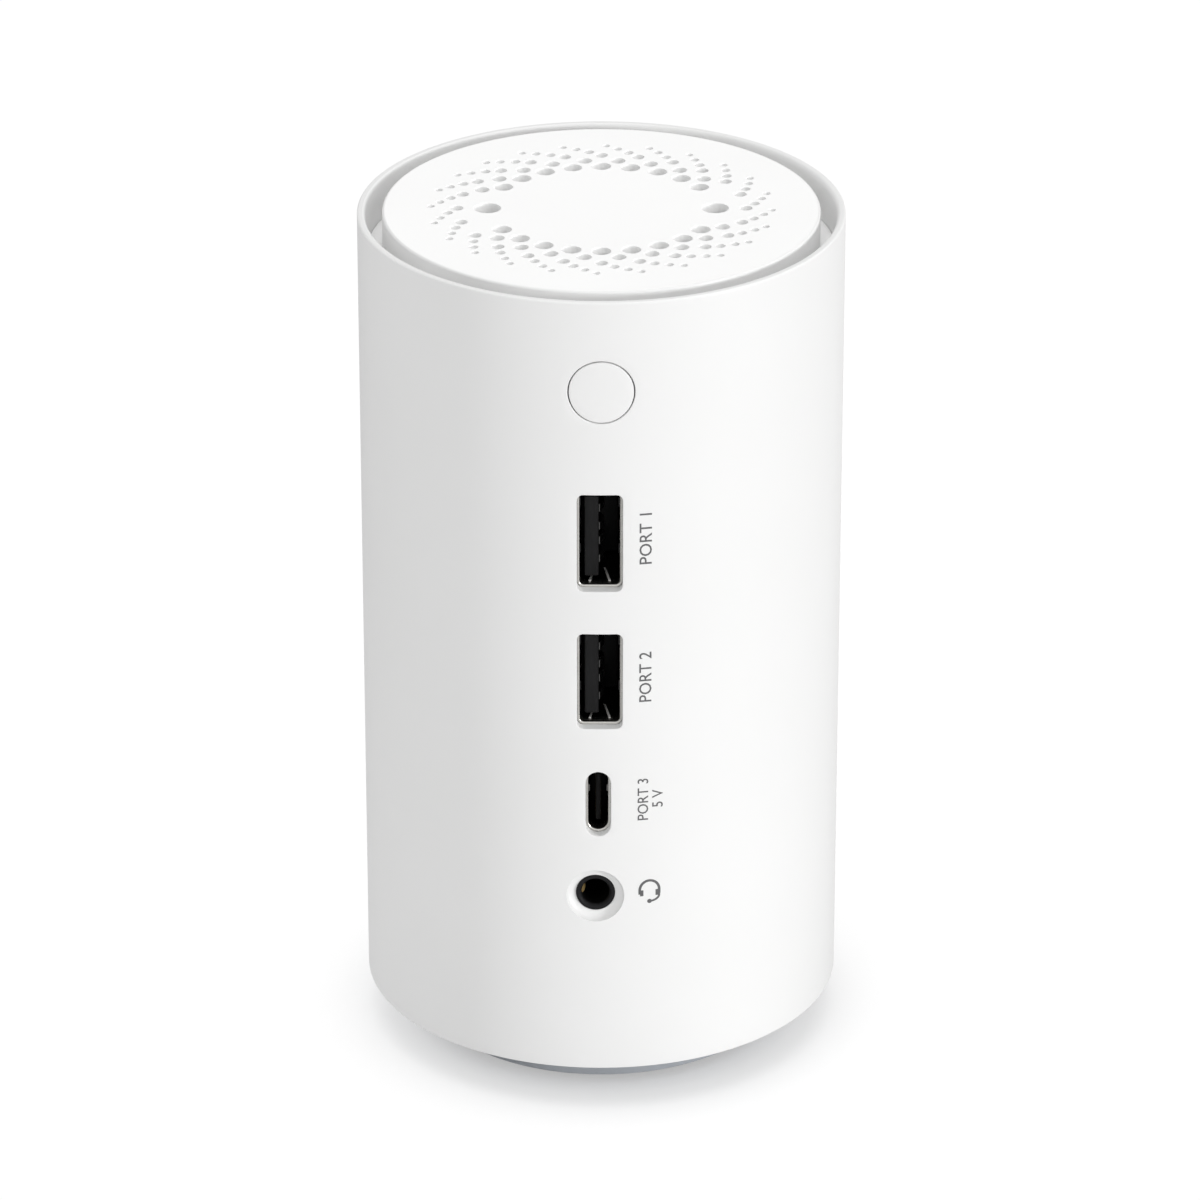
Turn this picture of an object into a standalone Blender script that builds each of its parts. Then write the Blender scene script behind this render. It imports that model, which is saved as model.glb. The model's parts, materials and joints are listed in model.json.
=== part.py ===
"""Upright USB hub: a white tube with a vented top, sockets down its front and a push button.

Units are metres. +Z is up, the sockets face -Y, and the hub stands on z = 0.
"""

import math

import bmesh
import bpy
from mathutils import Matrix, Vector

# Clearances
FIT_GAP = 0.00025
SEAT_GAP = 0.0002
SOCKET_GAP = 0.0002
SAME_POINT = 1e-7

# Tube
OUTER_DIAMETER = 0.0625
TUBE_HEIGHT = 0.108
SHELL_WALL = 0.0011
RIM_RADIUS = 0.0003
TUBE_SEGMENTS = 80

# Places down the front, each from the one before, from the tube's rim
RIM_TO_BUTTON = 0.0121
BUTTON_TO_USB_A = 0.0206
USB_A_PITCH = 0.0193
USB_A_TO_USB_C = 0.0174
USB_C_TO_JACK = 0.0133

# Places up the back, from the tube's lower edge
EDGE_TO_INLET = 0.024
INLET_TO_HOST = 0.016

# Sideways places of the sockets, which stand at different heights on the board
USB_A_OFFSET = -0.0002
USB_C_OFFSET = -0.0004
JACK_OFFSET = -0.00075

# Vented top
CHANNEL_WIDTH = 0.0021
CHANNEL_DEPTH = 0.0054
CAP_RISE = 0.00015
CAP_PLATE = 0.0022
CAP_SKIRT = 0.0016
CAP_EDGE_RADIUS = 0.0005
RING_THICKNESS = 0.0012
RING_WIDTH = 0.0055
HOOK_COUNT = 4
HOOK_THICKNESS = 0.0012
HOOK_WIDTH = 0.006
HOOK_BARB = 0.0008
HOOK_NOSE = 0.0012
LUG_COUNT = 4
LUG_REACH = 0.0018
LUG_WIDTH = 0.006
LUG_HEIGHT = 0.003

# Vent holes: arms that wind outwards, and for each ring its radius, its turn in degrees and its hole
VENT_ARMS = 24
VENT_RINGS = (
    (0.01456, 0.0, 0.00236),
    (0.01664, 7.5, 0.0018),
    (0.01848, 15.0, 0.00156),
    (0.01969, 19.7, 0.00124),
    (0.0208, 24.2, 0.00109),
    (0.02183, 28.3, 0.00093),
)
VENT_SHORT_RINGS = 2
VENT_SHORT_ANGLE = 20.0
SMALL_VENT = 0.0013
SIDE_VENT = 0.00345

# Foot and base
FOOT_STAND = 0.0061
FOOT_DIAMETER = 0.0472
FOOT_CHAMFER = 0.0004
BASE_RECESS = 0.0006
BASE_PLATE = 0.0024
CUP_WALL = 0.0022
CUP_FLOOR = 0.0012
PAD_PROUD = 0.0008
PAD_THICKNESS = 0.0016
PAD_WIDTH = 0.0055
PAD_INSET = 0.0014
BALLAST_THICKNESS = 0.0036
BASE_BOSS_COUNT = 4
BASE_BOSS_INSET = 0.0034
BASE_BOSS_DIAMETER = 0.0048
BASE_BOSS_HEIGHT = 0.009
BASE_BOSS_WEB = 0.003

# Screws
SCREW_SHANK = 0.002
SCREW_HEAD = 0.0038
SCREW_HEAD_HEIGHT = 0.0012
BASE_SCREW_BITE = 0.006
CARRIER_SCREW_BITE = 0.0014
BOARD_SCREW_BITE = 0.0036

# Board and its carrier
BOARD_THICKNESS = 0.0016
BOARD_EDGE_GAP = 0.0052
BOARD_BASE_GAP = 0.008
BOARD_TOP_MARGIN = 0.0004
BOARD_SCREW_SPACING = 0.024
BOARD_SCREW_INSET = 0.004
STANDOFF_LENGTH = 0.0032
STANDOFF_DIAMETER = 0.005
CARRIER_PLATE = 0.002
CARRIER_WIDTH = 0.042
CARRIER_TOP_INSET = 0.001
CARRIER_FRAME = 0.009
CARRIER_FLANGE = 0.0065
CARRIER_FLANGE_THICKNESS = 0.0022
CARRIER_WALL_GAP = 0.0008
CARRIER_SCREW_INSET = 0.0028

# USB-A sockets: metal outside sizes are the opening and two walls
USB_A_LONG = 0.0125
USB_A_SHORT = 0.00512
USB_A_DEPTH = 0.014
USB_A_CORNER = 0.0006
SOCKET_METAL = 0.0003
TONGUE_THICKNESS = 0.00184
TONGUE_WIDTH = 0.0111
TONGUE_WALL_GAP = 0.00062
TONGUE_RECESS = 0.0009
USB_A_BLOCK = 0.0042
CONTACT_PLACES = (-0.0035, -0.001, 0.001, 0.0035)
CONTACT_WIDTH = 0.001
CONTACT_RISE = 0.0005
CONTACT_LIFT = 0.00012
CONTACT_ROOT = 0.0003
CONTACT_TIP_SHARE = 0.12
CONTACT_PEAK_SHARE = 0.28
CONTACT_FLAT_SHARE = 0.5
FINGER_SPREAD = 0.0064
FINGER_WIDTH = 0.0016
FINGER_SLOT = 0.0004
FINGER_START = 0.0028
FINGER_LENGTH = 0.0056
FINGER_BEND = 0.0004
FINGER_THICKNESS = 0.0002

# USB-C sockets
USB_C_LONG = 0.00834
USB_C_SHORT = 0.00256
USB_C_DEPTH = 0.0075
USB_C_TONGUE_THICKNESS = 0.0007
USB_C_TONGUE_WIDTH = 0.0067
USB_C_TONGUE_RECESS = 0.001
USB_C_BLOCK = 0.0018
USB_C_FOOT = 0.003

# Cut-outs in the tube, wider than the sockets' metal by this much on each side
CUTOUT_MARGIN = 0.0002
CUTOUT_CORNER = 0.0008

# Headset jack and its dish
DISH_DIAMETER = 0.0074
DISH_FLOOR_DIAMETER = 0.0051
JACK_NOSE_DIAMETER = 0.005
JACK_NOSE_LENGTH = 0.0018
JACK_BORE = 0.0036
JACK_BORE_DEPTH = 0.011
JACK_DEPTH = 0.0125
JACK_HEIGHT = 0.0062
JACK_OUTER_SIDE = 0.0029
SPRING_START = 0.0021
SPRING_LENGTH = 0.006
SPRING_WIDTH = 0.0011
SPRING_THICKNESS = 0.00025
SPRING_REACH = 0.0006

# DC power inlet
INLET_WIDTH = 0.0076
INLET_HEIGHT = 0.0086
INLET_DEPTH = 0.012
INLET_BORE = 0.006
INLET_BORE_DEPTH = 0.0095
INLET_PIN = 0.002
INLET_PIN_RECESS = 0.001
INLET_HOLE_MARGIN = 0.0003

# Button and its switch
BUTTON_DIAMETER = 0.00815
BUTTON_GAP = 0.00025
BUTTON_FLANGE_LIP = 0.0009
BUTTON_FLANGE_THICKNESS = 0.001
BUTTON_STEM_DIAMETER = 0.003
BUTTON_STEM_LENGTH = 0.0018
BUTTON_TRAVEL = 0.0004
SWITCH_DEPTH = 0.0034
PLUNGER_DIAMETER = 0.0032
PLUNGER_REACH = 0.0012
PLUNGER_TAIL = 0.0009

# Parts on the board: thickness off the board, width along Y, height along Z, and place from the centre
CONTROLLER_SIZE = (0.001, 0.009, 0.009)
CONTROLLER_PLACE = (0.0, 0.016)
THERMAL_PAD_THICKNESS = 0.0005
SINK_WIDTH = 0.015
SINK_HEIGHT = 0.022
SINK_PLATE = 0.0015
SINK_FIN_HEIGHT = 0.006
SINK_FIN_THICKNESS = 0.0009
SINK_FIN_COUNT = 5
CODEC_SIZE = (0.001, 0.006, 0.006)
CODEC_PLACE = (-0.006, -0.028)
CRYSTAL_SIZE = (0.0011, 0.0032, 0.005)
CRYSTAL_PLACE = (0.0, -0.004)
INDUCTOR_SIZE = (0.0042, 0.007, 0.007)
INDUCTOR_PLACE = (0.005, -0.016)
CAPACITOR_DIAMETER = 0.0063
CAPACITOR_HEIGHT = 0.0077
CAPACITOR_REAR_GAP = 0.0038
CAPACITOR_PLACES = (0.006, 0.016)

# Facets on round details
ROUND_SEGMENTS = 24
SCREW_SEGMENTS = 12
VENT_SEGMENTS = 8
SMALL_VENT_SEGMENTS = 6
SIDE_VENT_SEGMENTS = 12
BASE_SEGMENTS = 48

# Radii and heights that follow from the sizes above
outer_radius = OUTER_DIAMETER / 2
inner_radius = outer_radius - SHELL_WALL
shell_bottom = FOOT_STAND
rim_z = shell_bottom + TUBE_HEIGHT
button_z = rim_z - RIM_TO_BUTTON
usb_a_upper_z = button_z - BUTTON_TO_USB_A
usb_a_lower_z = usb_a_upper_z - USB_A_PITCH
usb_c_z = usb_a_lower_z - USB_A_TO_USB_C
jack_z = usb_c_z - USB_C_TO_JACK
inlet_z = shell_bottom + EDGE_TO_INLET
host_z = inlet_z + INLET_TO_HOST

ring_top = rim_z - CHANNEL_DEPTH
ring_bottom = ring_top - RING_THICKNESS
ring_outer = inner_radius - FIT_GAP
ring_bore = ring_outer - RING_WIDTH
cap_radius = inner_radius - CHANNEL_WIDTH
cap_top = rim_z + CAP_RISE

base_bottom = shell_bottom + BASE_RECESS
base_top = base_bottom + BASE_PLATE
base_radius = inner_radius - FIT_GAP
foot_radius = FOOT_DIAMETER / 2
groove_top = PAD_THICKNESS + SEAT_GAP
cup_bottom = groove_top + CUP_FLOOR
cup_radius = foot_radius - CUP_WALL
base_boss_circle = inner_radius - BASE_BOSS_INSET
base_boss_bottom = base_top + SEAT_GAP
screw_hole_radius = SCREW_SHANK / 2 + FIT_GAP
head_hole_radius = SCREW_HEAD / 2 + FIT_GAP

usb_a_outer_short = USB_A_SHORT + 2 * SOCKET_METAL
usb_a_outer_long = USB_A_LONG + 2 * SOCKET_METAL
usb_c_outer_short = USB_C_SHORT + 2 * SOCKET_METAL
usb_c_outer_long = USB_C_LONG + 2 * SOCKET_METAL

board_left = USB_A_OFFSET + usb_a_outer_short / 2 + SEAT_GAP
board_right = board_left + BOARD_THICKNESS
board_seat = board_left - SEAT_GAP
board_edge = inner_radius - BOARD_EDGE_GAP
switch_half = board_seat
board_bottom = base_top + BOARD_BASE_GAP
board_top = button_z + switch_half + BOARD_TOP_MARGIN
board_middle = (board_bottom + board_top) / 2
standoff_end = board_right + SEAT_GAP
carrier_left = standoff_end + STANDOFF_LENGTH
carrier_right = carrier_left + CARRIER_PLATE
carrier_bottom = base_top + SEAT_GAP


def finish(name, colour, roughness, metallic=0.0):
    """Principled material with one colour."""
    material = bpy.data.materials.new(name)
    material.use_nodes = True
    shader = material.node_tree.nodes["Principled BSDF"]
    shader.inputs["Base Color"].default_value = (*colour, 1.0)
    shader.inputs["Roughness"].default_value = roughness
    shader.inputs["Metallic"].default_value = metallic
    return material


def arc(centre, radius, start, end, steps):
    """Points on an arc from one angle to another, in degrees."""
    points = []
    for step in range(steps + 1):
        angle = math.radians(start + (end - start) * step / steps)
        points.append((centre[0] + radius * math.cos(angle), centre[1] + radius * math.sin(angle)))
    return points


def rounded_outline(width, height, radius, steps=3):
    """Closed rectangle with round corners, a stadium where the radius is half its width."""
    right = width / 2 - radius
    top = height / 2 - radius
    corners = ((right, top, 0), (-right, top, 90), (-right, -top, 180), (right, -top, 270))
    points = []
    for x, z, start in corners:
        for point in arc((x, z), radius, start, start + 90, steps):
            if not points or math.dist(point, points[-1]) > SAME_POINT:
                points.append(point)
    return points


def shifted(outline, across, along):
    """Outline moved sideways."""
    return [(u + across, v + along) for u, v in outline]


def placed(axis, u, v, depth):
    """Point of an outline, set at a depth along the named axis."""
    if axis == "X":
        return Vector((depth, u, v))
    if axis == "Y":
        return Vector((u, depth, v))
    return Vector((u, v, depth))


def closed(shape):
    """Shape with its faces turned outwards."""
    bmesh.ops.recalc_face_normals(shape, faces=shape.faces)
    return shape


def prism(outline, axis, start, end):
    """Solid that extrudes an outline along an axis."""
    shape = bmesh.new()
    face = shape.faces.new([shape.verts.new(placed(axis, u, v, start)) for u, v in outline])
    extruded = bmesh.ops.extrude_face_region(shape, geom=[face])
    moved = [item for item in extruded["geom"] if isinstance(item, bmesh.types.BMVert)]
    bmesh.ops.translate(shape, verts=moved, vec=placed(axis, 0, 0, end - start))
    return closed(shape)


def block(x_range, y_range, z_range):
    """Plain box between two values on each axis."""
    shape = bmesh.new()
    bmesh.ops.create_cube(shape, size=1)
    spans = [high - low for low, high in (x_range, y_range, z_range)]
    middle = [(low + high) / 2 for low, high in (x_range, y_range, z_range)]
    sized = Matrix.Translation(middle) @ Matrix.Diagonal((*spans, 1))
    bmesh.ops.transform(shape, matrix=sized, verts=shape.verts)
    return shape


def rod(axis, centre, radius, start, end, segments, end_radius=None):
    """Round bar along an axis, tapered where an end radius is given."""
    turns = {
        "X": Matrix.Rotation(math.pi / 2, 4, "Y"),
        "Y": Matrix.Rotation(-math.pi / 2, 4, "X"),
        "Z": Matrix(),
    }
    middle = placed(axis, *centre, (start + end) / 2)
    shape = bmesh.new()
    bmesh.ops.create_cone(
        shape,
        cap_ends=True,
        segments=segments,
        radius1=radius,
        radius2=radius if end_radius is None else end_radius,
        depth=end - start,
        matrix=Matrix.Translation(middle) @ turns[axis],
    )
    return closed(shape)


def turned(profile, segments):
    """Solid of revolution about Z, from an outline of (radius, z) points."""
    shape = bmesh.new()
    verts = [shape.verts.new((radius, 0, z)) for radius, z in profile]
    edges = []
    for first, second in zip(verts, verts[1:] + verts[:1]):
        if first.co.x > 0 or second.co.x > 0:
            edges.append(shape.edges.new((first, second)))
    bmesh.ops.spin(
        shape,
        geom=verts + edges,
        axis=(0, 0, 1),
        cent=(0, 0, 0),
        angle=math.tau,
        steps=segments,
        use_merge=True,
    )
    bmesh.ops.remove_doubles(shape, verts=shape.verts, dist=1e-6)
    return closed(shape)


def flat_ring(inner, outer, bottom, top):
    """Ring of square section, or a disc where its inner radius is nothing."""
    return turned([(inner, bottom), (outer, bottom), (outer, top), (inner, top)], BASE_SEGMENTS)


def hollow_prism(outer, inner, axis, start, end):
    """Open tube between two outlines with the same number of points."""
    shape = bmesh.new()
    loops = []
    for outline in (outer, inner):
        for depth in (start, end):
            loops.append([shape.verts.new(placed(axis, u, v, depth)) for u, v in outline])
    outer_start, outer_end, inner_start, inner_end = loops
    round_the_wall = (outer_start, outer_end, inner_end, inner_start, outer_start)
    for one, other in zip(round_the_wall, round_the_wall[1:]):
        for index in range(len(one)):
            following = (index + 1) % len(one)
            shape.faces.new((one[index], one[following], other[following], other[index]))
    return closed(shape)


def polar(radius, degrees):
    """Point on a circle about Z."""
    angle = math.radians(degrees)
    return radius * math.cos(angle), radius * math.sin(angle)


def turned_about_z(shape, degrees):
    """Shape swung about the hub's axis."""
    bmesh.ops.transform(shape, matrix=Matrix.Rotation(math.radians(degrees), 4, "Z"), verts=shape.verts)
    return shape


def new_object(name, shape):
    """Object that holds a shape."""
    data = bpy.data.meshes.new(name)
    shape.to_mesh(data)
    shape.free()
    item = bpy.data.objects.new(name, data)
    bpy.context.scene.collection.objects.link(item)
    return item


def combine(piece, operation, shapes):
    """Cut shapes out of a piece, or join them to it, one after another."""
    for shape in shapes:
        tool = new_object("tool", shape)
        modifier = piece.modifiers.new(operation, "BOOLEAN")
        modifier.operation = operation
        modifier.solver = "EXACT"
        modifier.object = tool
        graph = bpy.context.evaluated_depsgraph_get()
        result = bpy.data.meshes.new_from_object(piece.evaluated_get(graph))
        piece.modifiers.clear()
        before = piece.data
        piece.data = result
        bpy.data.meshes.remove(before)
        bpy.data.objects.remove(tool)


def add_piece(name, shape, material, joined=(), cut=()):
    """Named piece: a shape, what is joined to it and what is then cut from it."""
    piece = new_object(name, shape)
    combine(piece, "UNION", joined)
    combine(piece, "DIFFERENCE", cut)
    piece.data.name = name
    piece.data.materials.clear()
    piece.data.materials.append(material)
    piece.data.shade_smooth()
    piece.data.set_sharp_from_angle(angle=math.radians(30))
    piece.parent = hub
    return piece


def set_origin(piece, point):
    """Move a piece's origin to a point and leave its shape where it is."""
    piece.data.transform(Matrix.Translation(-Vector(point)))
    piece.location = point


def mouth(offset, half_width):
    """Distance from the axis to a socket's mouth, just clear of the tube's inside."""
    return math.sqrt(inner_radius**2 - (abs(offset) + half_width) ** 2) - SOCKET_GAP


def span(facing, near, far):
    """Range on Y between two distances from the axis, on the side that is faced."""
    return tuple(sorted((facing * near, facing * far)))


def outer_shell():
    """White tube with its rim, its lugs and bosses inside, and every cut-out."""
    lower = [(inner_radius, shell_bottom), (outer_radius - RIM_RADIUS, shell_bottom)]
    lower += arc((outer_radius - RIM_RADIUS, shell_bottom + RIM_RADIUS), RIM_RADIUS, -45, 0, 1)
    upper = arc((outer_radius - RIM_RADIUS, rim_z - RIM_RADIUS), RIM_RADIUS, 0, 90, 2)
    upper += arc((inner_radius + RIM_RADIUS, rim_z - RIM_RADIUS), RIM_RADIUS, 90, 180, 2)
    tube = turned(lower + upper, TUBE_SEGMENTS)

    inside = inner_radius + SHELL_WALL / 2
    joined = []
    for index in range(BASE_BOSS_COUNT):
        degrees = 360 * (index + 0.5) / BASE_BOSS_COUNT
        heights = (base_boss_bottom, base_boss_bottom + BASE_BOSS_HEIGHT)
        post = rod("Z", polar(base_boss_circle, degrees), BASE_BOSS_DIAMETER / 2, *heights, SCREW_SEGMENTS)
        half = BASE_BOSS_WEB / 2
        web = block((base_boss_circle, inside), (-half, half), (heights[0] + SEAT_GAP, heights[1] - SEAT_GAP))
        joined += [post, turned_about_z(web, degrees)]
    for index in range(LUG_COUNT):
        heights = (ring_bottom - SEAT_GAP - LUG_HEIGHT, ring_bottom - SEAT_GAP)
        lug = block((inner_radius - LUG_REACH, inside), (-LUG_WIDTH / 2, LUG_WIDTH / 2), heights)
        joined.append(turned_about_z(lug, 360 * (index + 0.5) / LUG_COUNT))

    through = (inner_radius - 2 * SHELL_WALL, outer_radius + SHELL_WALL)
    front = span(-1, *through)
    back = span(1, *through)
    cut = []
    for index in range(BASE_BOSS_COUNT):
        centre = polar(base_boss_circle, 360 * (index + 0.5) / BASE_BOSS_COUNT)
        depth = base_boss_bottom + BASE_SCREW_BITE + SEAT_GAP
        cut.append(rod("Z", centre, screw_hole_radius, base_boss_bottom - SEAT_GAP, depth, SCREW_SEGMENTS))
    cut.append(rod("Y", (0, button_z), BUTTON_DIAMETER / 2 + BUTTON_GAP, *front, ROUND_SEGMENTS))
    room = 2 * CUTOUT_MARGIN
    slot = rounded_outline(usb_a_outer_short + room, usb_a_outer_long + room, CUTOUT_CORNER)
    for z in (usb_a_lower_z, usb_a_upper_z):
        cut.append(prism(shifted(slot, USB_A_OFFSET, z), "Y", *front))
    width = usb_c_outer_short + room
    stadium = rounded_outline(width, usb_c_outer_long + room, width / 2, 4)
    cut.append(prism(shifted(stadium, USB_C_OFFSET, usb_c_z), "Y", *front))
    cut.append(prism(shifted(stadium, USB_C_OFFSET, host_z), "Y", *back))
    cut.append(rod("Y", (inlet_x, inlet_z), INLET_BORE / 2 + INLET_HOLE_MARGIN, *back, ROUND_SEGMENTS))

    slope = (DISH_DIAMETER - DISH_FLOOR_DIAMETER) / 2 / SHELL_WALL
    beyond = SHELL_WALL / 2
    wide = DISH_DIAMETER / 2 + slope * beyond
    narrow = DISH_FLOOR_DIAMETER / 2 - slope * beyond
    ends = (-outer_radius - beyond, -inner_radius + beyond)
    cut.append(rod("Y", (JACK_OFFSET, jack_z), wide, *ends, ROUND_SEGMENTS, narrow))
    return add_piece("outer_shell", tube, white_plastic, joined, cut)


def vent_positions():
    """Centre and diameter of every vent hole."""
    for arm in range(VENT_ARMS):
        start = 360 * arm / VENT_ARMS
        to_side = min(start % 180, 180 - start % 180)
        first = VENT_SHORT_RINGS if to_side < VENT_SHORT_ANGLE else 0
        for radius, turn, hole in VENT_RINGS[first:]:
            segments = SMALL_VENT_SEGMENTS if hole < SMALL_VENT else VENT_SEGMENTS
            yield polar(radius, start + turn), hole, segments
    for side in (0, 180):
        yield polar(VENT_RINGS[0][0], side), SIDE_VENT, SIDE_VENT_SEGMENTS


def vent_cap():
    """Perforated disc with a skirt that stands on the channel ring, and hooks that hold it there."""
    plate_bottom = cap_top - CAP_PLATE
    skirt_bottom = ring_top + SEAT_GAP
    skirt_inner = cap_radius - CAP_SKIRT
    profile = [(0, cap_top)]
    profile += arc((cap_radius - CAP_EDGE_RADIUS, cap_top - CAP_EDGE_RADIUS), CAP_EDGE_RADIUS, 90, 0, 2)
    profile += [(cap_radius, skirt_bottom), (skirt_inner, skirt_bottom)]
    profile += [(skirt_inner, plate_bottom), (0, plate_bottom)]
    cap = turned(profile, TUBE_SEGMENTS)

    outside = ring_bore - FIT_GAP
    inside = outside - HOOK_THICKNESS
    catch = ring_bottom - SEAT_GAP
    hook = [
        (inside, plate_bottom + CAP_PLATE / 2),
        (outside, plate_bottom + CAP_PLATE / 2),
        (outside, catch),
        (outside + HOOK_BARB, catch),
        (outside, catch - HOOK_NOSE),
        (inside, catch - HOOK_NOSE),
    ]
    hooks = []
    for index in range(HOOK_COUNT):
        shape = prism(hook, "Y", -HOOK_WIDTH / 2, HOOK_WIDTH / 2)
        hooks.append(turned_about_z(shape, 360 * (index + 0.5) / HOOK_COUNT))

    holes = bmesh.new()
    for centre, hole, segments in vent_positions():
        middle = Matrix.Translation((*centre, cap_top - CAP_PLATE / 2))
        radius = hole / 2
        bmesh.ops.create_cone(
            holes,
            cap_ends=True,
            segments=segments,
            radius1=radius,
            radius2=radius,
            depth=2 * CAP_PLATE,
            matrix=middle,
        )
    return add_piece("vent_cap", cap, white_plastic, hooks, [closed(holes)])


def channel_ring():
    """Flat ring on the tube's lugs, the floor of the channel round the vent cap."""
    return add_piece("channel_ring", flat_ring(ring_bore, ring_outer, ring_bottom, ring_top), white_plastic)


def carrier_screw_places():
    """Where the two screws go down through the carrier's flange."""
    reach = carrier_left + CARRIER_FLANGE
    end = math.sqrt((inner_radius - CARRIER_WALL_GAP) ** 2 - reach**2)
    across = (carrier_right + reach) / 2
    return [(across, side * (end - CARRIER_SCREW_INSET)) for side in (-1, 1)]


def base():
    """Grey plate that closes the tube, with a drum below it that holds the ballast and the rubber ring."""
    pad_outer = foot_radius - PAD_INSET + SEAT_GAP
    pad_inner = foot_radius - PAD_INSET - PAD_WIDTH - SEAT_GAP
    profile = [
        (0, PAD_PROUD),
        (pad_inner, PAD_PROUD),
        (pad_inner, groove_top),
        (pad_outer, groove_top),
        (pad_outer, PAD_PROUD),
        (foot_radius - FOOT_CHAMFER, PAD_PROUD),
        (foot_radius, PAD_PROUD + FOOT_CHAMFER),
        (foot_radius, base_bottom),
        (base_radius, base_bottom),
        (base_radius, base_top),
        (cup_radius, base_top),
        (cup_radius, cup_bottom),
        (0, cup_bottom),
    ]
    cut = []
    head_floor = base_bottom + SCREW_HEAD_HEIGHT
    for index in range(BASE_BOSS_COUNT):
        centre = polar(base_boss_circle, 360 * (index + 0.5) / BASE_BOSS_COUNT)
        cut.append(rod("Z", centre, screw_hole_radius, base_bottom, base_top + SEAT_GAP, SCREW_SEGMENTS))
        cut.append(rod("Z", centre, head_hole_radius, base_bottom - SEAT_GAP, head_floor, SCREW_SEGMENTS))
    for centre in carrier_screw_places():
        floor = base_top - CARRIER_SCREW_BITE - SEAT_GAP
        cut.append(rod("Z", centre, screw_hole_radius, floor, base_top + SEAT_GAP, SCREW_SEGMENTS))
    return add_piece("base", turned(profile, BASE_SEGMENTS), grey_plastic, cut=cut)


def foot_ring():
    """Rubber ring in the drum's groove, which the hub stands on."""
    outer = foot_radius - PAD_INSET
    return add_piece("foot_ring", flat_ring(outer - PAD_WIDTH, outer, 0, PAD_THICKNESS), rubber)


def ballast_disc():
    """Steel weight that lies in the drum."""
    bottom = cup_bottom + SEAT_GAP
    disc = flat_ring(0, cup_radius - FIT_GAP, bottom, bottom + BALLAST_THICKNESS)
    return add_piece("ballast_disc", disc, steel)


def screw(name, axis, seat, centre, length, direction):
    """Pan-head screw whose head bears on a seat and whose shank runs on along the axis."""
    top = seat - direction * SCREW_HEAD_HEIGHT
    inside_head = (top + seat) / 2
    tip = seat + direction * length
    head = rod(axis, centre, SCREW_HEAD / 2, *sorted((top, seat)), SCREW_SEGMENTS)
    shank = rod(axis, centre, SCREW_SHANK / 2, *sorted((inside_head, tip)), SCREW_SEGMENTS)
    return add_piece(name, head, steel, [shank])


def base_screws():
    """Screws up through the base into the tube's bosses."""
    seat = base_bottom + SCREW_HEAD_HEIGHT - SEAT_GAP
    length = base_boss_bottom + BASE_SCREW_BITE - SEAT_GAP - seat
    for index in range(BASE_BOSS_COUNT):
        centre = polar(base_boss_circle, 360 * (index + 0.5) / BASE_BOSS_COUNT)
        screw(f"base_screw_{index + 1}", "Z", seat, centre, length, 1)


def carrier_screws():
    """Screws down through the carrier's flange into the base."""
    seat = carrier_bottom + CARRIER_FLANGE_THICKNESS + SEAT_GAP
    length = seat - base_top + CARRIER_SCREW_BITE
    for index, centre in enumerate(carrier_screw_places()):
        screw(f"carrier_screw_{index + 1}", "Z", seat, centre, length, -1)


def board_screw_places():
    """Where the four screws go through the board."""
    half = BOARD_SCREW_SPACING / 2
    heights = (board_bottom + BOARD_SCREW_INSET, board_top - BOARD_SCREW_INSET)
    return [(y, z) for z in heights for y in (-half, half)]


def board_screws():
    """Screws through the board into the carrier's standoffs."""
    for index, centre in enumerate(board_screw_places()):
        length = BOARD_THICKNESS + 2 * SEAT_GAP + BOARD_SCREW_BITE
        screw(f"board_screw_{index + 1}", "X", board_seat, centre, length, 1)


def board_carrier():
    """Upright frame with a flange on the base and standoffs for the board."""
    half = CARRIER_WIDTH / 2
    top = board_top - CARRIER_TOP_INSET
    plate = block((carrier_left, carrier_right), (-half, half), (carrier_bottom, top))
    reach = carrier_left + CARRIER_FLANGE
    end = math.sqrt((inner_radius - CARRIER_WALL_GAP) ** 2 - reach**2)
    flange_top = carrier_bottom + CARRIER_FLANGE_THICKNESS
    joined = [block((carrier_left, reach), (-end, end), (carrier_bottom, flange_top))]
    for centre in board_screw_places():
        overlap = carrier_left + CARRIER_PLATE / 2
        joined.append(rod("X", centre, STANDOFF_DIAMETER / 2, standoff_end, overlap, SCREW_SEGMENTS))

    cut = []
    window = (half - CARRIER_FRAME, carrier_bottom + CARRIER_FRAME + BOARD_BASE_GAP, top - CARRIER_FRAME)
    beyond = (carrier_left - CARRIER_PLATE, carrier_right + CARRIER_PLATE)
    cut.append(block(beyond, (-window[0], window[0]), window[1:]))
    for centre in board_screw_places():
        cut.append(rod("X", centre, screw_hole_radius, board_right, carrier_right + SEAT_GAP, SCREW_SEGMENTS))
    for centre in carrier_screw_places():
        cut.append(rod("Z", centre, screw_hole_radius, base_top, flange_top + SEAT_GAP, SCREW_SEGMENTS))
    return add_piece("board_carrier", plate, black_plastic, joined, cut)


def main_board():
    """Upright circuit board with its screw holes."""
    plate = block((board_left, board_right), (-board_edge, board_edge), (board_bottom, board_top))
    cut = []
    for centre in board_screw_places():
        cut.append(rod("X", centre, screw_hole_radius, board_seat, standoff_end, SCREW_SEGMENTS))
    return add_piece("main_board", plate, board_green, cut=cut)


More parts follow.
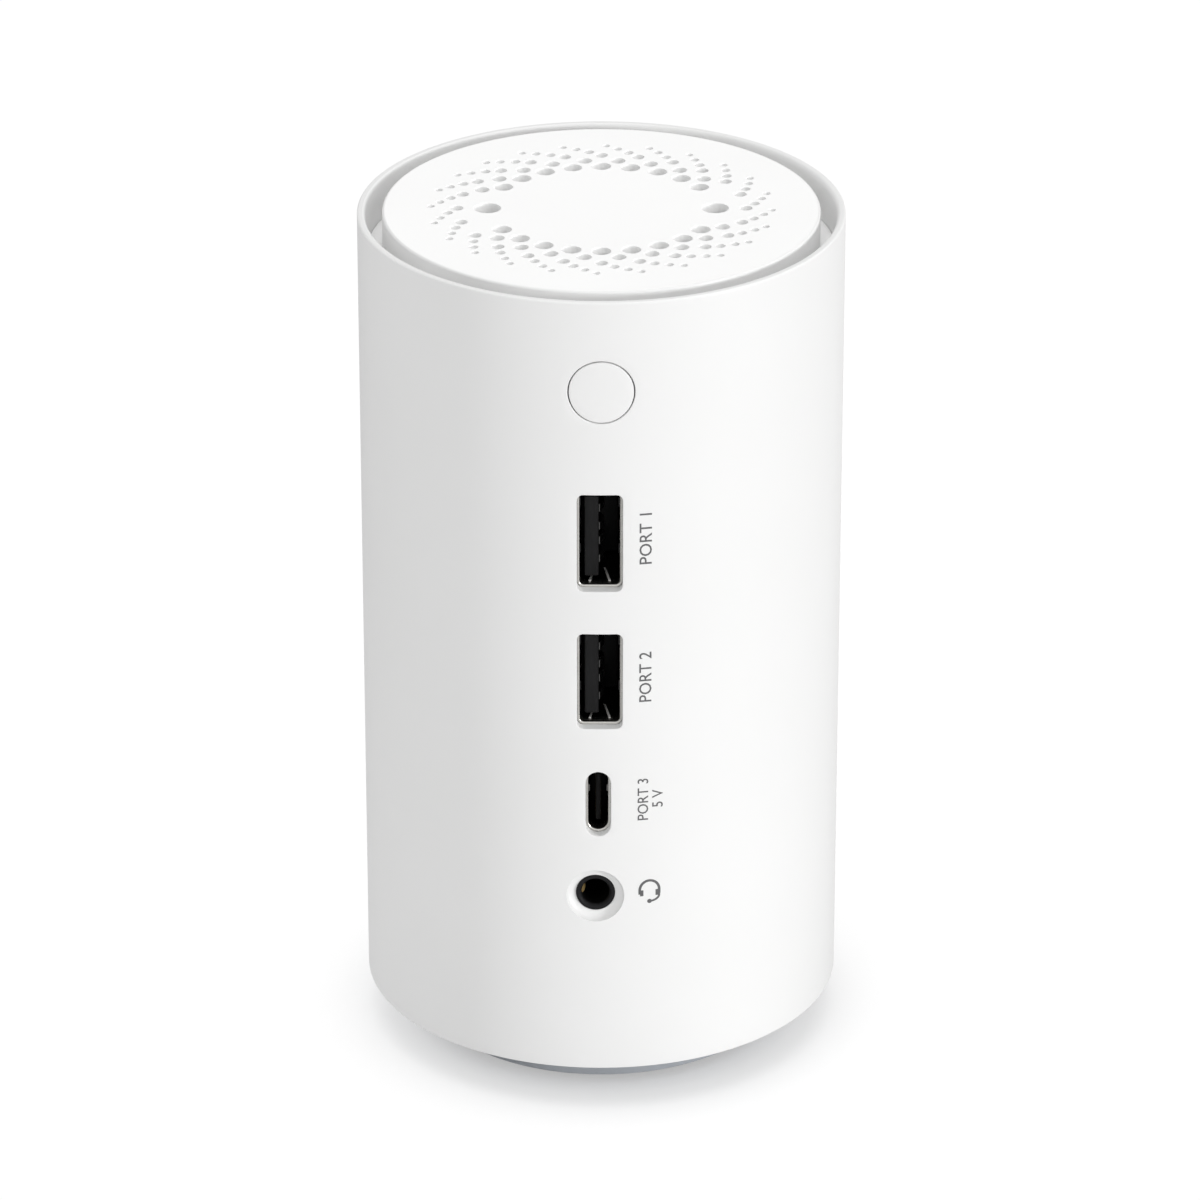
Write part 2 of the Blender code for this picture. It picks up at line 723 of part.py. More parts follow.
def usb_a_socket(name, z):
    """Upright USB-A socket: pressed shell with spring fingers, and the tongue with its contacts."""
    front = mouth(USB_A_OFFSET, usb_a_outer_short / 2)
    outer = rounded_outline(usb_a_outer_short, usb_a_outer_long, USB_A_CORNER + SOCKET_METAL)
    inner = rounded_outline(USB_A_SHORT, USB_A_LONG, USB_A_CORNER)
    back = USB_A_DEPTH - front
    outlines = [shifted(outline, USB_A_OFFSET, z) for outline in (outer, inner)]
    shell = hollow_prism(*outlines, "Y", -front, back)
    start = FINGER_START - front
    root = start + FINGER_LENGTH
    wall = usb_a_outer_short / 2 - (SOCKET_METAL - FINGER_THICKNESS) / 2
    lip = start + FINGER_SLOT
    bend = start + FINGER_LENGTH / 3
    finger = [
        (wall, root + FINGER_SLOT),
        (wall - FINGER_BEND, bend),
        (wall - FINGER_BEND / 2, lip),
        (wall - FINGER_BEND / 2 - FINGER_THICKNESS, lip),
        (wall - FINGER_BEND - FINGER_THICKNESS, bend),
        (wall - FINGER_THICKNESS, root + FINGER_SLOT),
    ]
    windows = []
    fingers = []
    for height in (z - FINGER_SPREAD / 2, z + FINGER_SPREAD / 2):
        half = FINGER_WIDTH / 2 + FINGER_SLOT
        across = (USB_A_OFFSET - usb_a_outer_short, USB_A_OFFSET + usb_a_outer_short)
        windows.append(block(across, (start, root), (height - half, height + half)))
        for side in (-1, 1):
            outline = [(USB_A_OFFSET + side * x, y) for x, y in finger]
            fingers.append(prism(outline, "Z", height - FINGER_WIDTH / 2, height + FINGER_WIDTH / 2))
    piece = add_piece(f"{name}_shell", shell, nickel, cut=windows)
    combine(piece, "UNION", fingers)

    block_outline = rounded_outline(USB_A_SHORT - 2 * SEAT_GAP, USB_A_LONG - 2 * SEAT_GAP, USB_A_CORNER)
    insulator = prism(shifted(block_outline, USB_A_OFFSET, z), "Y", back - USB_A_BLOCK, back)
    tongue_left = USB_A_OFFSET - USB_A_SHORT / 2 + TONGUE_WALL_GAP
    face = tongue_left + TONGUE_THICKNESS
    tip = TONGUE_RECESS - front
    into_block = back - USB_A_BLOCK / 2
    half = TONGUE_WIDTH / 2
    joined = [block((tongue_left, face), (tip, into_block), (z - half, z + half))]
    reach = back - USB_A_BLOCK - tip
    contact = [
        (face - CONTACT_ROOT, tip + CONTACT_TIP_SHARE * reach),
        (face + CONTACT_LIFT, tip + CONTACT_TIP_SHARE * reach),
        (face + CONTACT_RISE, tip + CONTACT_PEAK_SHARE * reach),
        (face + CONTACT_LIFT, tip + CONTACT_FLAT_SHARE * reach),
        (face + CONTACT_LIFT, into_block),
        (face - CONTACT_ROOT, into_block),
    ]
    for place in CONTACT_PLACES:
        joined.append(prism(contact, "Z", z + place - CONTACT_WIDTH / 2, z + place + CONTACT_WIDTH / 2))
    add_piece(f"{name}_tongue", insulator, black_plastic, joined)


def usb_c_socket(name, z, facing):
    """Upright USB-C socket: drawn shell, and the moulding with its tongue and its foot on the board."""
    front = mouth(USB_C_OFFSET, usb_c_outer_short / 2)
    back = front - USB_C_DEPTH
    outer = rounded_outline(usb_c_outer_short, usb_c_outer_long, usb_c_outer_short / 2, 4)
    inner = rounded_outline(USB_C_SHORT, USB_C_LONG, USB_C_SHORT / 2, 4)
    outlines = [shifted(outline, USB_C_OFFSET, z) for outline in (outer, inner)]
    add_piece(f"{name}_shell", hollow_prism(*outlines, "Y", *span(facing, back, front)), nickel)

    plug_width = USB_C_SHORT - 2 * SEAT_GAP
    plug = rounded_outline(plug_width, USB_C_LONG - 2 * SEAT_GAP, plug_width / 2, 4)
    foot_back = back - SEAT_GAP - USB_C_FOOT
    depth = span(facing, foot_back + USB_C_FOOT / 2, back + USB_C_BLOCK)
    moulding = prism(shifted(plug, USB_C_OFFSET, z), "Y", *depth)
    left = USB_C_OFFSET - usb_c_outer_short / 2
    high = usb_c_outer_long / 2
    foot = block((left, board_seat), span(facing, foot_back, back - SEAT_GAP), (z - high, z + high))
    half = USB_C_TONGUE_WIDTH / 2
    thin = USB_C_TONGUE_THICKNESS / 2
    along = span(facing, back + USB_C_BLOCK / 2, front - USB_C_TONGUE_RECESS)
    tongue = block((USB_C_OFFSET - thin, USB_C_OFFSET + thin), along, (z - half, z + half))
    add_piece(f"{name}_tongue", moulding, black_plastic, [foot, tongue])


def audio_jack():
    """Headset jack with a round nose behind the dish, and the spring contact in its side."""
    front = mouth(JACK_OFFSET, JACK_NOSE_DIAMETER / 2)
    shoulder = front - JACK_NOSE_LENGTH
    back = front - JACK_DEPTH
    half = JACK_HEIGHT / 2
    centre = (JACK_OFFSET, jack_z)
    left = JACK_OFFSET - JACK_OUTER_SIDE
    body = block((left, board_seat), (-shoulder, -back), (jack_z - half, jack_z + half))
    nose = rod("Y", centre, JACK_NOSE_DIAMETER / 2, -front, -shoulder + JACK_NOSE_LENGTH, ROUND_SEGMENTS)
    bore = rod("Y", centre, JACK_BORE / 2, -front - SEAT_GAP, -front + JACK_BORE_DEPTH, ROUND_SEGMENTS)
    start = SPRING_START - front
    end = start + SPRING_LENGTH
    room = SPRING_WIDTH / 2 + SEAT_GAP
    slot = block((left - SEAT_GAP, JACK_OFFSET), (start, end), (jack_z - room, jack_z + room))
    add_piece("audio_jack_body", body, black_plastic, [nose], [bore, slot])

    wall = left + SPRING_THICKNESS
    bump = JACK_OFFSET - JACK_BORE / 2 + SPRING_REACH
    leaf = [
        (wall, end - SEAT_GAP),
        (bump, start + SPRING_LENGTH / 3),
        (bump - SPRING_REACH, start + SEAT_GAP),
        (bump - SPRING_REACH - SPRING_THICKNESS, start + SEAT_GAP),
        (bump - SPRING_THICKNESS, start + SPRING_LENGTH / 3),
        (wall - SPRING_THICKNESS, end - SEAT_GAP),
    ]
    strip = prism(leaf, "Z", jack_z - SPRING_WIDTH / 2, jack_z + SPRING_WIDTH / 2)
    add_piece("audio_jack_spring", strip, gilt)


def power_inlet():
    """DC inlet at the back with its centre pin."""
    front = mouth(inlet_x, INLET_WIDTH / 2)
    back = front - INLET_DEPTH
    half = INLET_HEIGHT / 2
    centre = (inlet_x, inlet_z)
    body = block((board_seat - INLET_WIDTH, board_seat), (back, front), (inlet_z - half, inlet_z + half))
    pin_radius = INLET_PIN / 2
    bore = rod("Y", centre, INLET_BORE / 2, front - INLET_BORE_DEPTH, front + SEAT_GAP, ROUND_SEGMENTS)
    within = front - INLET_BORE_DEPTH / 2
    root = rod("Y", centre, pin_radius + SEAT_GAP, back - SEAT_GAP, within, SCREW_SEGMENTS)
    add_piece("power_inlet_body", body, black_plastic, cut=[bore, root])
    pin = rod("Y", centre, pin_radius, back, front - INLET_PIN_RECESS, SCREW_SEGMENTS)
    add_piece("power_inlet_pin", pin, nickel)


def power_button():
    """Round cap flush with the tube, with a flange that keeps it in and a stem that meets the switch."""
    flange_radius = BUTTON_DIAMETER / 2 + BUTTON_FLANGE_LIP
    flange_front = -mouth(0, flange_radius) + SEAT_GAP
    flange_back = flange_front + BUTTON_FLANGE_THICKNESS
    stem_end = flange_back + BUTTON_STEM_LENGTH
    centre = (0, button_z)
    in_flange = flange_back - BUTTON_FLANGE_THICKNESS / 2
    bar = rod("Y", centre, BUTTON_DIAMETER / 2, -outer_radius - SHELL_WALL, in_flange, ROUND_SEGMENTS)
    cap = new_object("power_button", bar)
    low = button_z - BUTTON_DIAMETER
    high = button_z + BUTTON_DIAMETER
    surface = turned([(0, low), (outer_radius, low), (outer_radius, high), (0, high)], TUBE_SEGMENTS)
    combine(cap, "INTERSECT", [surface])
    shape = bmesh.new()
    shape.from_mesh(cap.data)
    bpy.data.objects.remove(cap)
    flange = rod("Y", centre, flange_radius, flange_front, flange_back, ROUND_SEGMENTS)
    stem = rod("Y", centre, BUTTON_STEM_DIAMETER / 2, in_flange, stem_end, SCREW_SEGMENTS)
    button = add_piece("power_button", shape, white_plastic, [flange, stem])
    set_origin(button, (0, -outer_radius, button_z))

    plunger_front = stem_end + SEAT_GAP
    switch_front = plunger_front + PLUNGER_REACH
    plunger_back = switch_front + PLUNGER_TAIL
    bore_floor = plunger_back + BUTTON_TRAVEL + SEAT_GAP
    radius = PLUNGER_DIAMETER / 2
    plunger = rod("Y", centre, radius, plunger_front, plunger_back, SCREW_SEGMENTS)
    set_origin(add_piece("switch_plunger", plunger, black_plastic), (0, plunger_front, button_z))
    body = block(
        (-switch_half, switch_half),
        (switch_front, switch_front + SWITCH_DEPTH),
        (button_z - switch_half, button_z + switch_half),
    )
    bore = rod("Y", centre, radius + FIT_GAP, switch_front - SEAT_GAP, bore_floor, SCREW_SEGMENTS)
    add_piece("switch_body", body, black_plastic, cut=[bore])


def board_part(name, size, place, material, seat):
    """Flat part on the board's socket side, off a seat face."""
    thickness, width, height = size
    y, z = place[0], board_middle + place[1]
    shape = block((seat - thickness, seat), (y - width / 2, y + width / 2), (z - height / 2, z + height / 2))
    return add_piece(name, shape, material)


def heat_sink(seat):
    """Extruded sink over the controller, with upright fins for rising air."""
    y, z = CONTROLLER_PLACE[0], board_middle + CONTROLLER_PLACE[1]
    low, high = y - SINK_WIDTH / 2, y + SINK_WIDTH / 2
    root = seat - SINK_PLATE
    tip = root - SINK_FIN_HEIGHT
    step = (SINK_WIDTH - SINK_FIN_THICKNESS) / (SINK_FIN_COUNT - 1)
    profile = [(seat, low), (tip, low)]
    for index in range(SINK_FIN_COUNT - 1):
        fin_end = low + index * step + SINK_FIN_THICKNESS
        next_fin = low + (index + 1) * step
        profile += [(tip, fin_end), (root, fin_end), (root, next_fin), (tip, next_fin)]
    profile += [(tip, high), (seat, high)]
    shape = prism(profile, "Z", z - SINK_HEIGHT / 2, z + SINK_HEIGHT / 2)
    return add_piece("heat_sink", shape, aluminium)


def board_parts():
    """Chips, sink, crystal, inductor and capacitors on the board."""
    board_part("hub_controller", CONTROLLER_SIZE, CONTROLLER_PLACE, black_plastic, board_seat)
    pad_seat = board_seat - CONTROLLER_SIZE[0] - SEAT_GAP
    pad_size = (THERMAL_PAD_THICKNESS, *CONTROLLER_SIZE[1:])
    board_part("thermal_pad", pad_size, CONTROLLER_PLACE, pad_grey, pad_seat)
    heat_sink(pad_seat - THERMAL_PAD_THICKNESS - SEAT_GAP)
    board_part("audio_codec", CODEC_SIZE, CODEC_PLACE, black_plastic, board_seat)
    board_part("crystal", CRYSTAL_SIZE, CRYSTAL_PLACE, steel, board_seat)
    board_part("power_inductor", INDUCTOR_SIZE, INDUCTOR_PLACE, ferrite, board_seat)
    for index, height in enumerate(CAPACITOR_PLACES):
        centre = (board_edge - CAPACITOR_REAR_GAP - CAPACITOR_DIAMETER / 2, board_middle + height)
        top = board_seat - CAPACITOR_HEIGHT
        can = rod("X", centre, CAPACITOR_DIAMETER / 2, top, board_seat, SCREW_SEGMENTS)
        add_piece(f"bulk_capacitor_{index + 1}", can, aluminium)


for item in list(bpy.data.objects):
    bpy.data.objects.remove(item)

hub = bpy.data.objects.new("usb_hub", None)
bpy.context.scene.collection.objects.link(hub)

white_plastic = finish("white_plastic", (0.84, 0.84, 0.83), 0.38)
grey_plastic = finish("grey_plastic", (0.33, 0.35, 0.38), 0.5)
black_plastic = finish("black_plastic", (0.015, 0.015, 0.016), 0.45)
rubber = finish("rubber", (0.05, 0.05, 0.055), 0.8)
steel = finish("steel", (0.55, 0.55, 0.55), 0.35, 1.0)
nickel = finish("nickel", (0.62, 0.61, 0.58), 0.28, 1.0)
gilt = finish("gilt", (0.8, 0.58, 0.22), 0.3, 1.0)
aluminium = finish("aluminium", (0.7, 0.7, 0.71), 0.35, 1.0)
board_green = finish("board_green", (0.02, 0.12, 0.06), 0.5)
pad_grey = finish("pad_grey", (0.25, 0.26, 0.28), 0.7)
ferrite = finish("ferrite", (0.1, 0.1, 0.105), 0.6)

inlet_x = board_seat - INLET_WIDTH / 2

outer_shell()
vent_cap()
channel_ring()
base()
foot_ring()
ballast_disc()
base_screws()
board_carrier()
carrier_screws()
main_board()
board_screws()
usb_a_socket("usb_a_upper", usb_a_upper_z)
usb_a_socket("usb_a_lower", usb_a_lower_z)
usb_c_socket("usb_c_front", usb_c_z, -1)
usb_c_socket("host_port", host_z, 1)
audio_jack()
power_inlet()
power_button()
board_parts()
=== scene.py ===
# %% [markdown]
# # A white tower hub, dressed for its picture
#
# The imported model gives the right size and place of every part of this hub, but its round parts are cut
# into a few flat faces and its edges are sharp. Here we build the smooth, finished surfaces around that
# frame: the moulded tube, the pierced vent cap, the button, the pressed sockets and the foot. We could
# move the frame's own parts, but then the picture and the real model would no longer agree, so we only
# measure them.

# %% Load the frame
import json
import math
from collections import namedtuple

import bmesh
import bpy
from mathutils import Matrix, Vector


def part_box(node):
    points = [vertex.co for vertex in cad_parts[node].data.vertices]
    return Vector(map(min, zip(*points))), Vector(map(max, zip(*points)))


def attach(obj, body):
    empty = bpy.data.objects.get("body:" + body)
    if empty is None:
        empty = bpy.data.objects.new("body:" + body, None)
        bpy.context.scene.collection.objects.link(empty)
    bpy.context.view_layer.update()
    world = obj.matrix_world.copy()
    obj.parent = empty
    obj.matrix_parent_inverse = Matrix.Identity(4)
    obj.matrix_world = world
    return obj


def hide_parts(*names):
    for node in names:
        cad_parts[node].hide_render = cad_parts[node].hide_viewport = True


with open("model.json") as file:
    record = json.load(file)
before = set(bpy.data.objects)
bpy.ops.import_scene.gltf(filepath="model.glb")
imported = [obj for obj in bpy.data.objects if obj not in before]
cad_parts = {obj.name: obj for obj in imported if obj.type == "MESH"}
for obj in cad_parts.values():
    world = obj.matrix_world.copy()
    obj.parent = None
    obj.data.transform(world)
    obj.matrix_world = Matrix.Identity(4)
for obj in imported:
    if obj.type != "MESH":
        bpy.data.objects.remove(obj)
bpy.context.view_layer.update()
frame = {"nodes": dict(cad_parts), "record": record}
MM = 0.001

# %% [markdown]
# ## Helpers for meshes
#
# Nearly every part of a hub like this is turned, drawn or extruded, so its skin is a row of loops:
# rings of points, each joined to the next by a band of faces. A modifier such as Screw could spin a
# profile as well, but loops also let a ring change from a round shape to a flat one. Corners of a
# profile are eased with a small curve, because a real moulding has no perfectly sharp edge and it is
# that curve which catches the light.

# %% Loops and skins
LONGEST_EASE = 0.45


def band(build, first, second):
    """Closed band of faces between two rows with the same number of points."""
    for index in range(len(first)):
        build.faces.new((first[index], first[index - 1], second[index - 1], second[index]))


def skin(build, loops, wrap=False, caps=False):
    """Skin over a row of loops, wrapped round to the first loop or capped at both ends."""
    rows = [[build.verts.new(point) for point in loop] for loop in loops]
    for first, second in zip(rows, rows[1:]):
        band(build, first, second)
    if wrap:
        band(build, rows[-1], rows[0])
    if caps:
        build.faces.new(rows[0])
        build.faces.new(rows[-1])


def eased(profile, radius, steps=4, closed=True):
    """Profile whose corners are replaced by small curves of about this radius."""
    points = [Vector(point) for point in profile]
    result = []
    for index, point in enumerate(points):
        if not closed and index in (0, len(points) - 1):
            result.append(point)
            continue
        before = points[index - 1] - point
        after = points[(index + 1) % len(points)] - point
        reach = min(radius, LONGEST_EASE * before.length, LONGEST_EASE * after.length)
        start, end = point + before.normalized() * reach, point + after.normalized() * reach
        for step in range(steps + 1):
            share = step / steps
            result.append(start.lerp(point, share).lerp(point.lerp(end, share), share))
    return result


def round_loop(axis, centre, radius, place, count):
    """Circle about a line along Y or Z, as a loop of points."""
    loop = []
    for index in range(count):
        angle = 2 * math.pi * index / count
        across, along = centre[0] + radius * math.cos(angle), centre[1] + radius * math.sin(angle)
        loop.append((across, along, place) if axis == "Z" else (across, place, along))
    return loop


def lathe(build, axis, centre, profile, count, **ends):
    """Skin turned about a line along Y or Z, from a profile of radius and place."""
    skin(build, [round_loop(axis, centre, radius, place, count) for radius, place in profile], **ends)


print("helpers: band, skin, eased, round_loop, lathe")

# %% Finished pieces
WELD = 2e-7
SHARP_ANGLE = 32
LEVEL_FACE = 0.99999


def mesh_of(name, build):
    """Plain mesh from a bmesh, which is used up."""
    mesh = bpy.data.meshes.new(name)
    build.to_mesh(mesh)
    build.free()
    return mesh


def welded(name, build):
    """Plain mesh from a bmesh, with double points joined and all faces turned out."""
    bmesh.ops.remove_doubles(build, verts=build.verts, dist=WELD)
    bmesh.ops.recalc_face_normals(build, faces=build.faces)
    return mesh_of(name, build)


def placed(name, data):
    """New object in the scene."""
    holder = bpy.data.objects.new(name, data)
    bpy.context.scene.collection.objects.link(holder)
    return holder


def finished(name, build, material, node_names=(), body="hub_body"):
    """Welds a mesh, smooths all but its level faces and puts it on a body."""
    mesh = welded(name, build)
    mesh.shade_smooth()
    mesh.set_sharp_from_angle(angle=math.radians(SHARP_ANGLE))
    for face in mesh.polygons:
        face.use_smooth = abs(face.normal.z) < LEVEL_FACE
    mesh.materials.clear()
    mesh.materials.append(material)
    piece = placed(name, mesh)
    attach(piece, body)
    if node_names:
        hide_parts(*node_names)
    print("made", name, "with", len(mesh.polygons), "faces")
    return piece


def middle(node_name):
    """Middle of a frame part's box."""
    low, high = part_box(node_name)
    return (low + high) / 2


print("middle of the button:", [round(v / MM, 2) for v in middle("power_button")])

# %% [markdown]
# ## Finishes
#
# A moulded white shell looks plain, yet it is never one flat colour: the resin has faint clouds, and
# the mould's eroded surface leaves a fine grain that breaks up the shine. We could paint this as a
# picture, but a picture needs unwrapping and has a fixed sharpness. Two node groups do it with noise
# instead: one for moulded plastic and rubber, one for sheet metal, whose grain is drawn out along the
# rolling direction.
#
# Nickel and black mouldings also turn darker inside the tube, as painted shade: deep in a real socket
# hardly any light arrives, and the soft light used here would show too much of it. For the same reason
# the USB-C pads and the USB-A contacts get darkened copies of gilt and tin, which is painted shade too.

# %% Node helper
def add_node(tree, kind, settings=None, inputs=None):
    """Adds a node, sets its options, and sets or links its inputs by name or number."""
    made = tree.nodes.new(kind)
    for key, value in (settings or {}).items():
        setattr(made, key, value)
    for key, value in (inputs or {}).items():
        if isinstance(value, bpy.types.NodeSocket):
            tree.links.new(value, made.inputs[key])
        else:
            made.inputs[key].default_value = value
    return made


def out_of(tree, kind, inputs=None, out=0, **settings):
    """Adds a node and returns one of its outputs, by name or number."""
    return add_node(tree, kind, settings, inputs).outputs[out]


GROUP_INPUTS = (
    ("Colour", "NodeSocketColor", (0.8, 0.8, 0.8, 1.0)),
    ("Second Colour", "NodeSocketColor", (0.7, 0.7, 0.7, 1.0)),
    ("Cloud Scale", "NodeSocketFloat", 60.0),
    ("Grain Scale", "NodeSocketFloat", 3000.0),
    ("Low Roughness", "NodeSocketFloat", 0.3),
    ("High Roughness", "NodeSocketFloat", 0.5),
)
MIX_FACTOR, MIX_A, MIX_B, MIX_RESULT = 0, 6, 7, 2
CLOUD_SPAN, GRAIN_SPAN = (0.3, 0.7), (0.25, 0.75)


def ranged(tree, value, span=(0.0, 1.0), levels=(0.0, 1.0)):
    """Value mapped from a span to levels, and held at their ends."""
    ends = {"From Min": span[0], "From Max": span[1], "To Min": levels[0], "To Max": levels[1]}
    return out_of(tree, "ShaderNodeMapRange", {"Value": value, **ends})


def blended(tree, share, first, second):
    """Blend of two colours by a share."""
    inputs = {MIX_FACTOR: share, MIX_A: first, MIX_B: second}
    return out_of(tree, "ShaderNodeMix", inputs, MIX_RESULT, data_type="RGBA")


def grain_group(name, stretch):
    """Shader group with clouds in the colour and a fine grain in roughness and height."""
    group = bpy.data.node_groups.new(name, "ShaderNodeTree")
    for title, kind, value in GROUP_INPUTS:
        group.interface.new_socket(name=title, in_out="INPUT", socket_type=kind).default_value = value
    for title, kind in (("Colour", "Color"), ("Roughness", "Float"), ("Height", "Float")):
        group.interface.new_socket(name=title, in_out="OUTPUT", socket_type="NodeSocket" + kind)
    given = add_node(group, "NodeGroupInput").outputs
    place = add_node(group, "ShaderNodeTexCoord").outputs["Object"]
    turned = out_of(group, "ShaderNodeMapping", {"Vector": place, "Scale": stretch})
    noise = {"Vector": turned, "Scale": given["Cloud Scale"], "Detail": 3.0}
    clouds = out_of(group, "ShaderNodeTexNoise", noise)
    noise = {"Vector": turned, "Scale": given["Grain Scale"], "Detail": 2.0}
    grain = out_of(group, "ShaderNodeTexNoise", noise)
    colour = blended(group, ranged(group, clouds, CLOUD_SPAN), given["Colour"], given["Second Colour"])
    rough = ranged(group, grain, GRAIN_SPAN, (given["Low Roughness"], given["High Roughness"]))
    add_node(group, "NodeGroupOutput", None, {"Colour": colour, "Roughness": rough, "Height": grain})
    return group


moulded_grain = grain_group("moulded_grain", (1.0, 1.0, 1.0))
drawn_grain = grain_group("drawn_grain", (1.0, 0.08, 1.0))
print("groups:", moulded_grain.name, drawn_grain.name)

# %% Finish maker
BUMP_DEPTH = 0.02 * MM
DULL_BLACK = ((0.4, 0.55), 0.2, 0.0, 0.15)


def finish(name, group, colour, second, scales, roughness, bump, metallic=0.0, specular=0.5):
    """Principled material with a grain group behind its colour, roughness and bump."""
    material = bpy.data.materials.new(name)
    material.use_nodes = True
    tree = material.node_tree
    shader = tree.nodes["Principled BSDF"]
    grain = add_node(tree, "ShaderNodeGroup", {"node_tree": group})
    values = ((*colour, 1.0), (*second, 1.0), *scales, *roughness)
    for (title, _, _), value in zip(GROUP_INPUTS, values):
        grain.inputs[title].default_value = value
    tree.links.new(grain.outputs["Colour"], shader.inputs["Base Color"])
    tree.links.new(grain.outputs["Roughness"], shader.inputs["Roughness"])
    height = {"Height": grain.outputs["Height"], "Strength": bump, "Distance": BUMP_DEPTH}
    raised = add_node(tree, "ShaderNodeBump", None, height)
    tree.links.new(raised.outputs["Normal"], shader.inputs["Normal"])
    shader.inputs["Metallic"].default_value = metallic
    shader.inputs["Specular IOR Level"].default_value = specular
    return material


PLASTICS = (
    ("white_shell", (0.86, 0.86, 0.857), (0.848, 0.848, 0.844), (45, 3500), (0.33, 0.41), 0.12),
    ("grey_foot", (0.48, 0.505, 0.54), (0.45, 0.475, 0.51), (70, 2500), (0.42, 0.58), 0.3),
    ("black_moulding", (0.014, 0.014, 0.015), (0.01, 0.01, 0.011), (200, 5000), *DULL_BLACK),
    ("dark_tongue", (0.013, 0.013, 0.0135), (0.01, 0.01, 0.0105), (300, 6000), *DULL_BLACK),
    ("foot_rubber", (0.05, 0.05, 0.054), (0.036, 0.036, 0.04), (120, 1800), (0.7, 0.88), 0.5),
)
white_shell, grey_foot, black_moulding, dark_tongue, foot_rubber = [
    finish(name, moulded_grain, *look) for name, *look in PLASTICS
]
print("plastics:", ", ".join(row[0] for row in PLASTICS))

# %% Metals and inner parts
SHEET_GRAIN = (500, 6000)
SHEET_METALS = (
    ("nickel_sheet", (0.62, 0.61, 0.58), (0.58, 0.57, 0.54), SHEET_GRAIN, (0.26, 0.32), 0.02, 1.0),
    ("gilt_spring", (0.83, 0.6, 0.26), (0.76, 0.53, 0.2), SHEET_GRAIN, (0.4, 0.5), 0.1, 0.8),
    # painted shade: gilt made about ten times darker, for the USB-C pads deep in their cans
    ("worn_gilt", (0.09, 0.065, 0.026), (0.07, 0.05, 0.02), SHEET_GRAIN, (0.3, 0.44), 0.1, 1.0),
    ("cut_edge", (0.8, 0.79, 0.77), (0.7, 0.69, 0.67), SHEET_GRAIN, (0.3, 0.44), 0.1, 0.2),
    # painted shade: tin made dark, for the contacts deep in the USB-A sockets
    ("contact_tin", (0.22, 0.22, 0.215), (0.17, 0.17, 0.165), SHEET_GRAIN, (0.3, 0.44), 0.1, 1.0),
)
nickel_sheet, gilt_spring, worn_gilt, cut_edge, contact_tin = [
    finish(name, drawn_grain, *look) for name, *look in SHEET_METALS
]
INNER_PARTS = (
    ("plain_steel", (0.56, 0.56, 0.55), (0.5, 0.5, 0.49), (200, 4000), (0.26, 0.42), 0.1, 1.0),
    ("satin_aluminium", (0.7, 0.7, 0.71), (0.64, 0.64, 0.65), (150, 4000), (0.3, 0.46), 0.15, 1.0),
    ("solder_mask", (0.02, 0.12, 0.06), (0.015, 0.095, 0.046), (260, 3000), (0.36, 0.5), 0.15),
    ("thermal_gum", (0.26, 0.27, 0.29), (0.22, 0.23, 0.25), (300, 2500), (0.6, 0.8), 0.3),
    ("pressed_ferrite", (0.1, 0.1, 0.105), (0.075, 0.075, 0.08), (300, 2800), (0.5, 0.68), 0.35),
)
plain_steel, satin_aluminium, solder_mask, thermal_gum, pressed_ferrite = [
    finish(name, moulded_grain, *look) for name, *look in INNER_PARTS
]
print("metals and inner parts:", ", ".join(row[0] for row in SHEET_METALS + INNER_PARTS))

# %% Shade inside the sockets
NICKEL_SHADE = (27.9 * MM, 29.5 * MM)
BLACK_SHADE = (29.5 * MM, 30.15 * MM)


def darker_inside(material, colour, between):
    """Lets a finish turn dark inside the tube, between two distances from the tube's axis."""
    tree = material.node_tree
    shader = tree.nodes["Principled BSDF"]
    surface = shader.inputs["Base Color"].links[0].from_socket
    place = add_node(tree, "ShaderNodeTexCoord").outputs["Object"]
    level = out_of(tree, "ShaderNodeVectorMath", {0: place, 1: (1, 1, 0)}, operation="MULTIPLY")
    from_axis = out_of(tree, "ShaderNodeVectorMath", {0: level}, "Value", operation="LENGTH")
    shaded = blended(tree, ranged(tree, from_axis, between), (*colour, 1.0), surface)
    tree.links.new(shaded, shader.inputs["Base Color"])
    print(material.name, "turns dark", between[1] / MM, "to", between[0] / MM, "mm from the tube's axis")


darker_inside(nickel_sheet, (0.05, 0.05, 0.05), NICKEL_SHADE)
darker_inside(black_moulding, (0.002, 0.002, 0.002), BLACK_SHADE)

# %% [markdown]
# ## The tube
#
# The body of the hub is one thin white tube, 1.1 mm thick, with a window for each socket. A Boolean
# would cut those windows quickly, but it leaves long thin faces that show as smears on a glossy curve.
# Here the tube is a regular net of columns and levels instead. Round each window a patch of the net is
# left out, and rings of points lead from the patch's border to the window, roll over its edge and go
# through the wall to the inside, so all of it is smooth.
#
# A socket's window hugs its can, and a collar behind it closes the gap to the inside. The rim's inner
# edge slopes a little, and the jack's window is a bowl.

# %% Net of the tube
TUBE_COLUMNS = 192
STRIP_COLUMNS = 9
LEVEL_STEP = 1.5 * MM
TUBE_WALL = 1.1 * MM
RIM_ROUND = 0.25 * MM
RIM_SLOPE = 0.42 * MM
RIM_FALL = 0.8 * MM
FOOT_ROUND = 0.12 * MM
PATCH_MARGIN = 2.2 * MM

tube_low, tube_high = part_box("outer_shell")
tube_radius = (tube_high.x - tube_low.x) / 2
inner_radius = tube_radius - TUBE_WALL
level_count = round((tube_high.z - tube_low.z) / LEVEL_STEP)
levels = [tube_low.z + LEVEL_STEP * index for index in range(level_count + 1)]
levels[0] += FOOT_ROUND
levels[-1] -= RIM_FALL
print("tube radius", round(tube_radius / MM, 3), "mm,", TUBE_COLUMNS, "columns,", level_count, "levels")

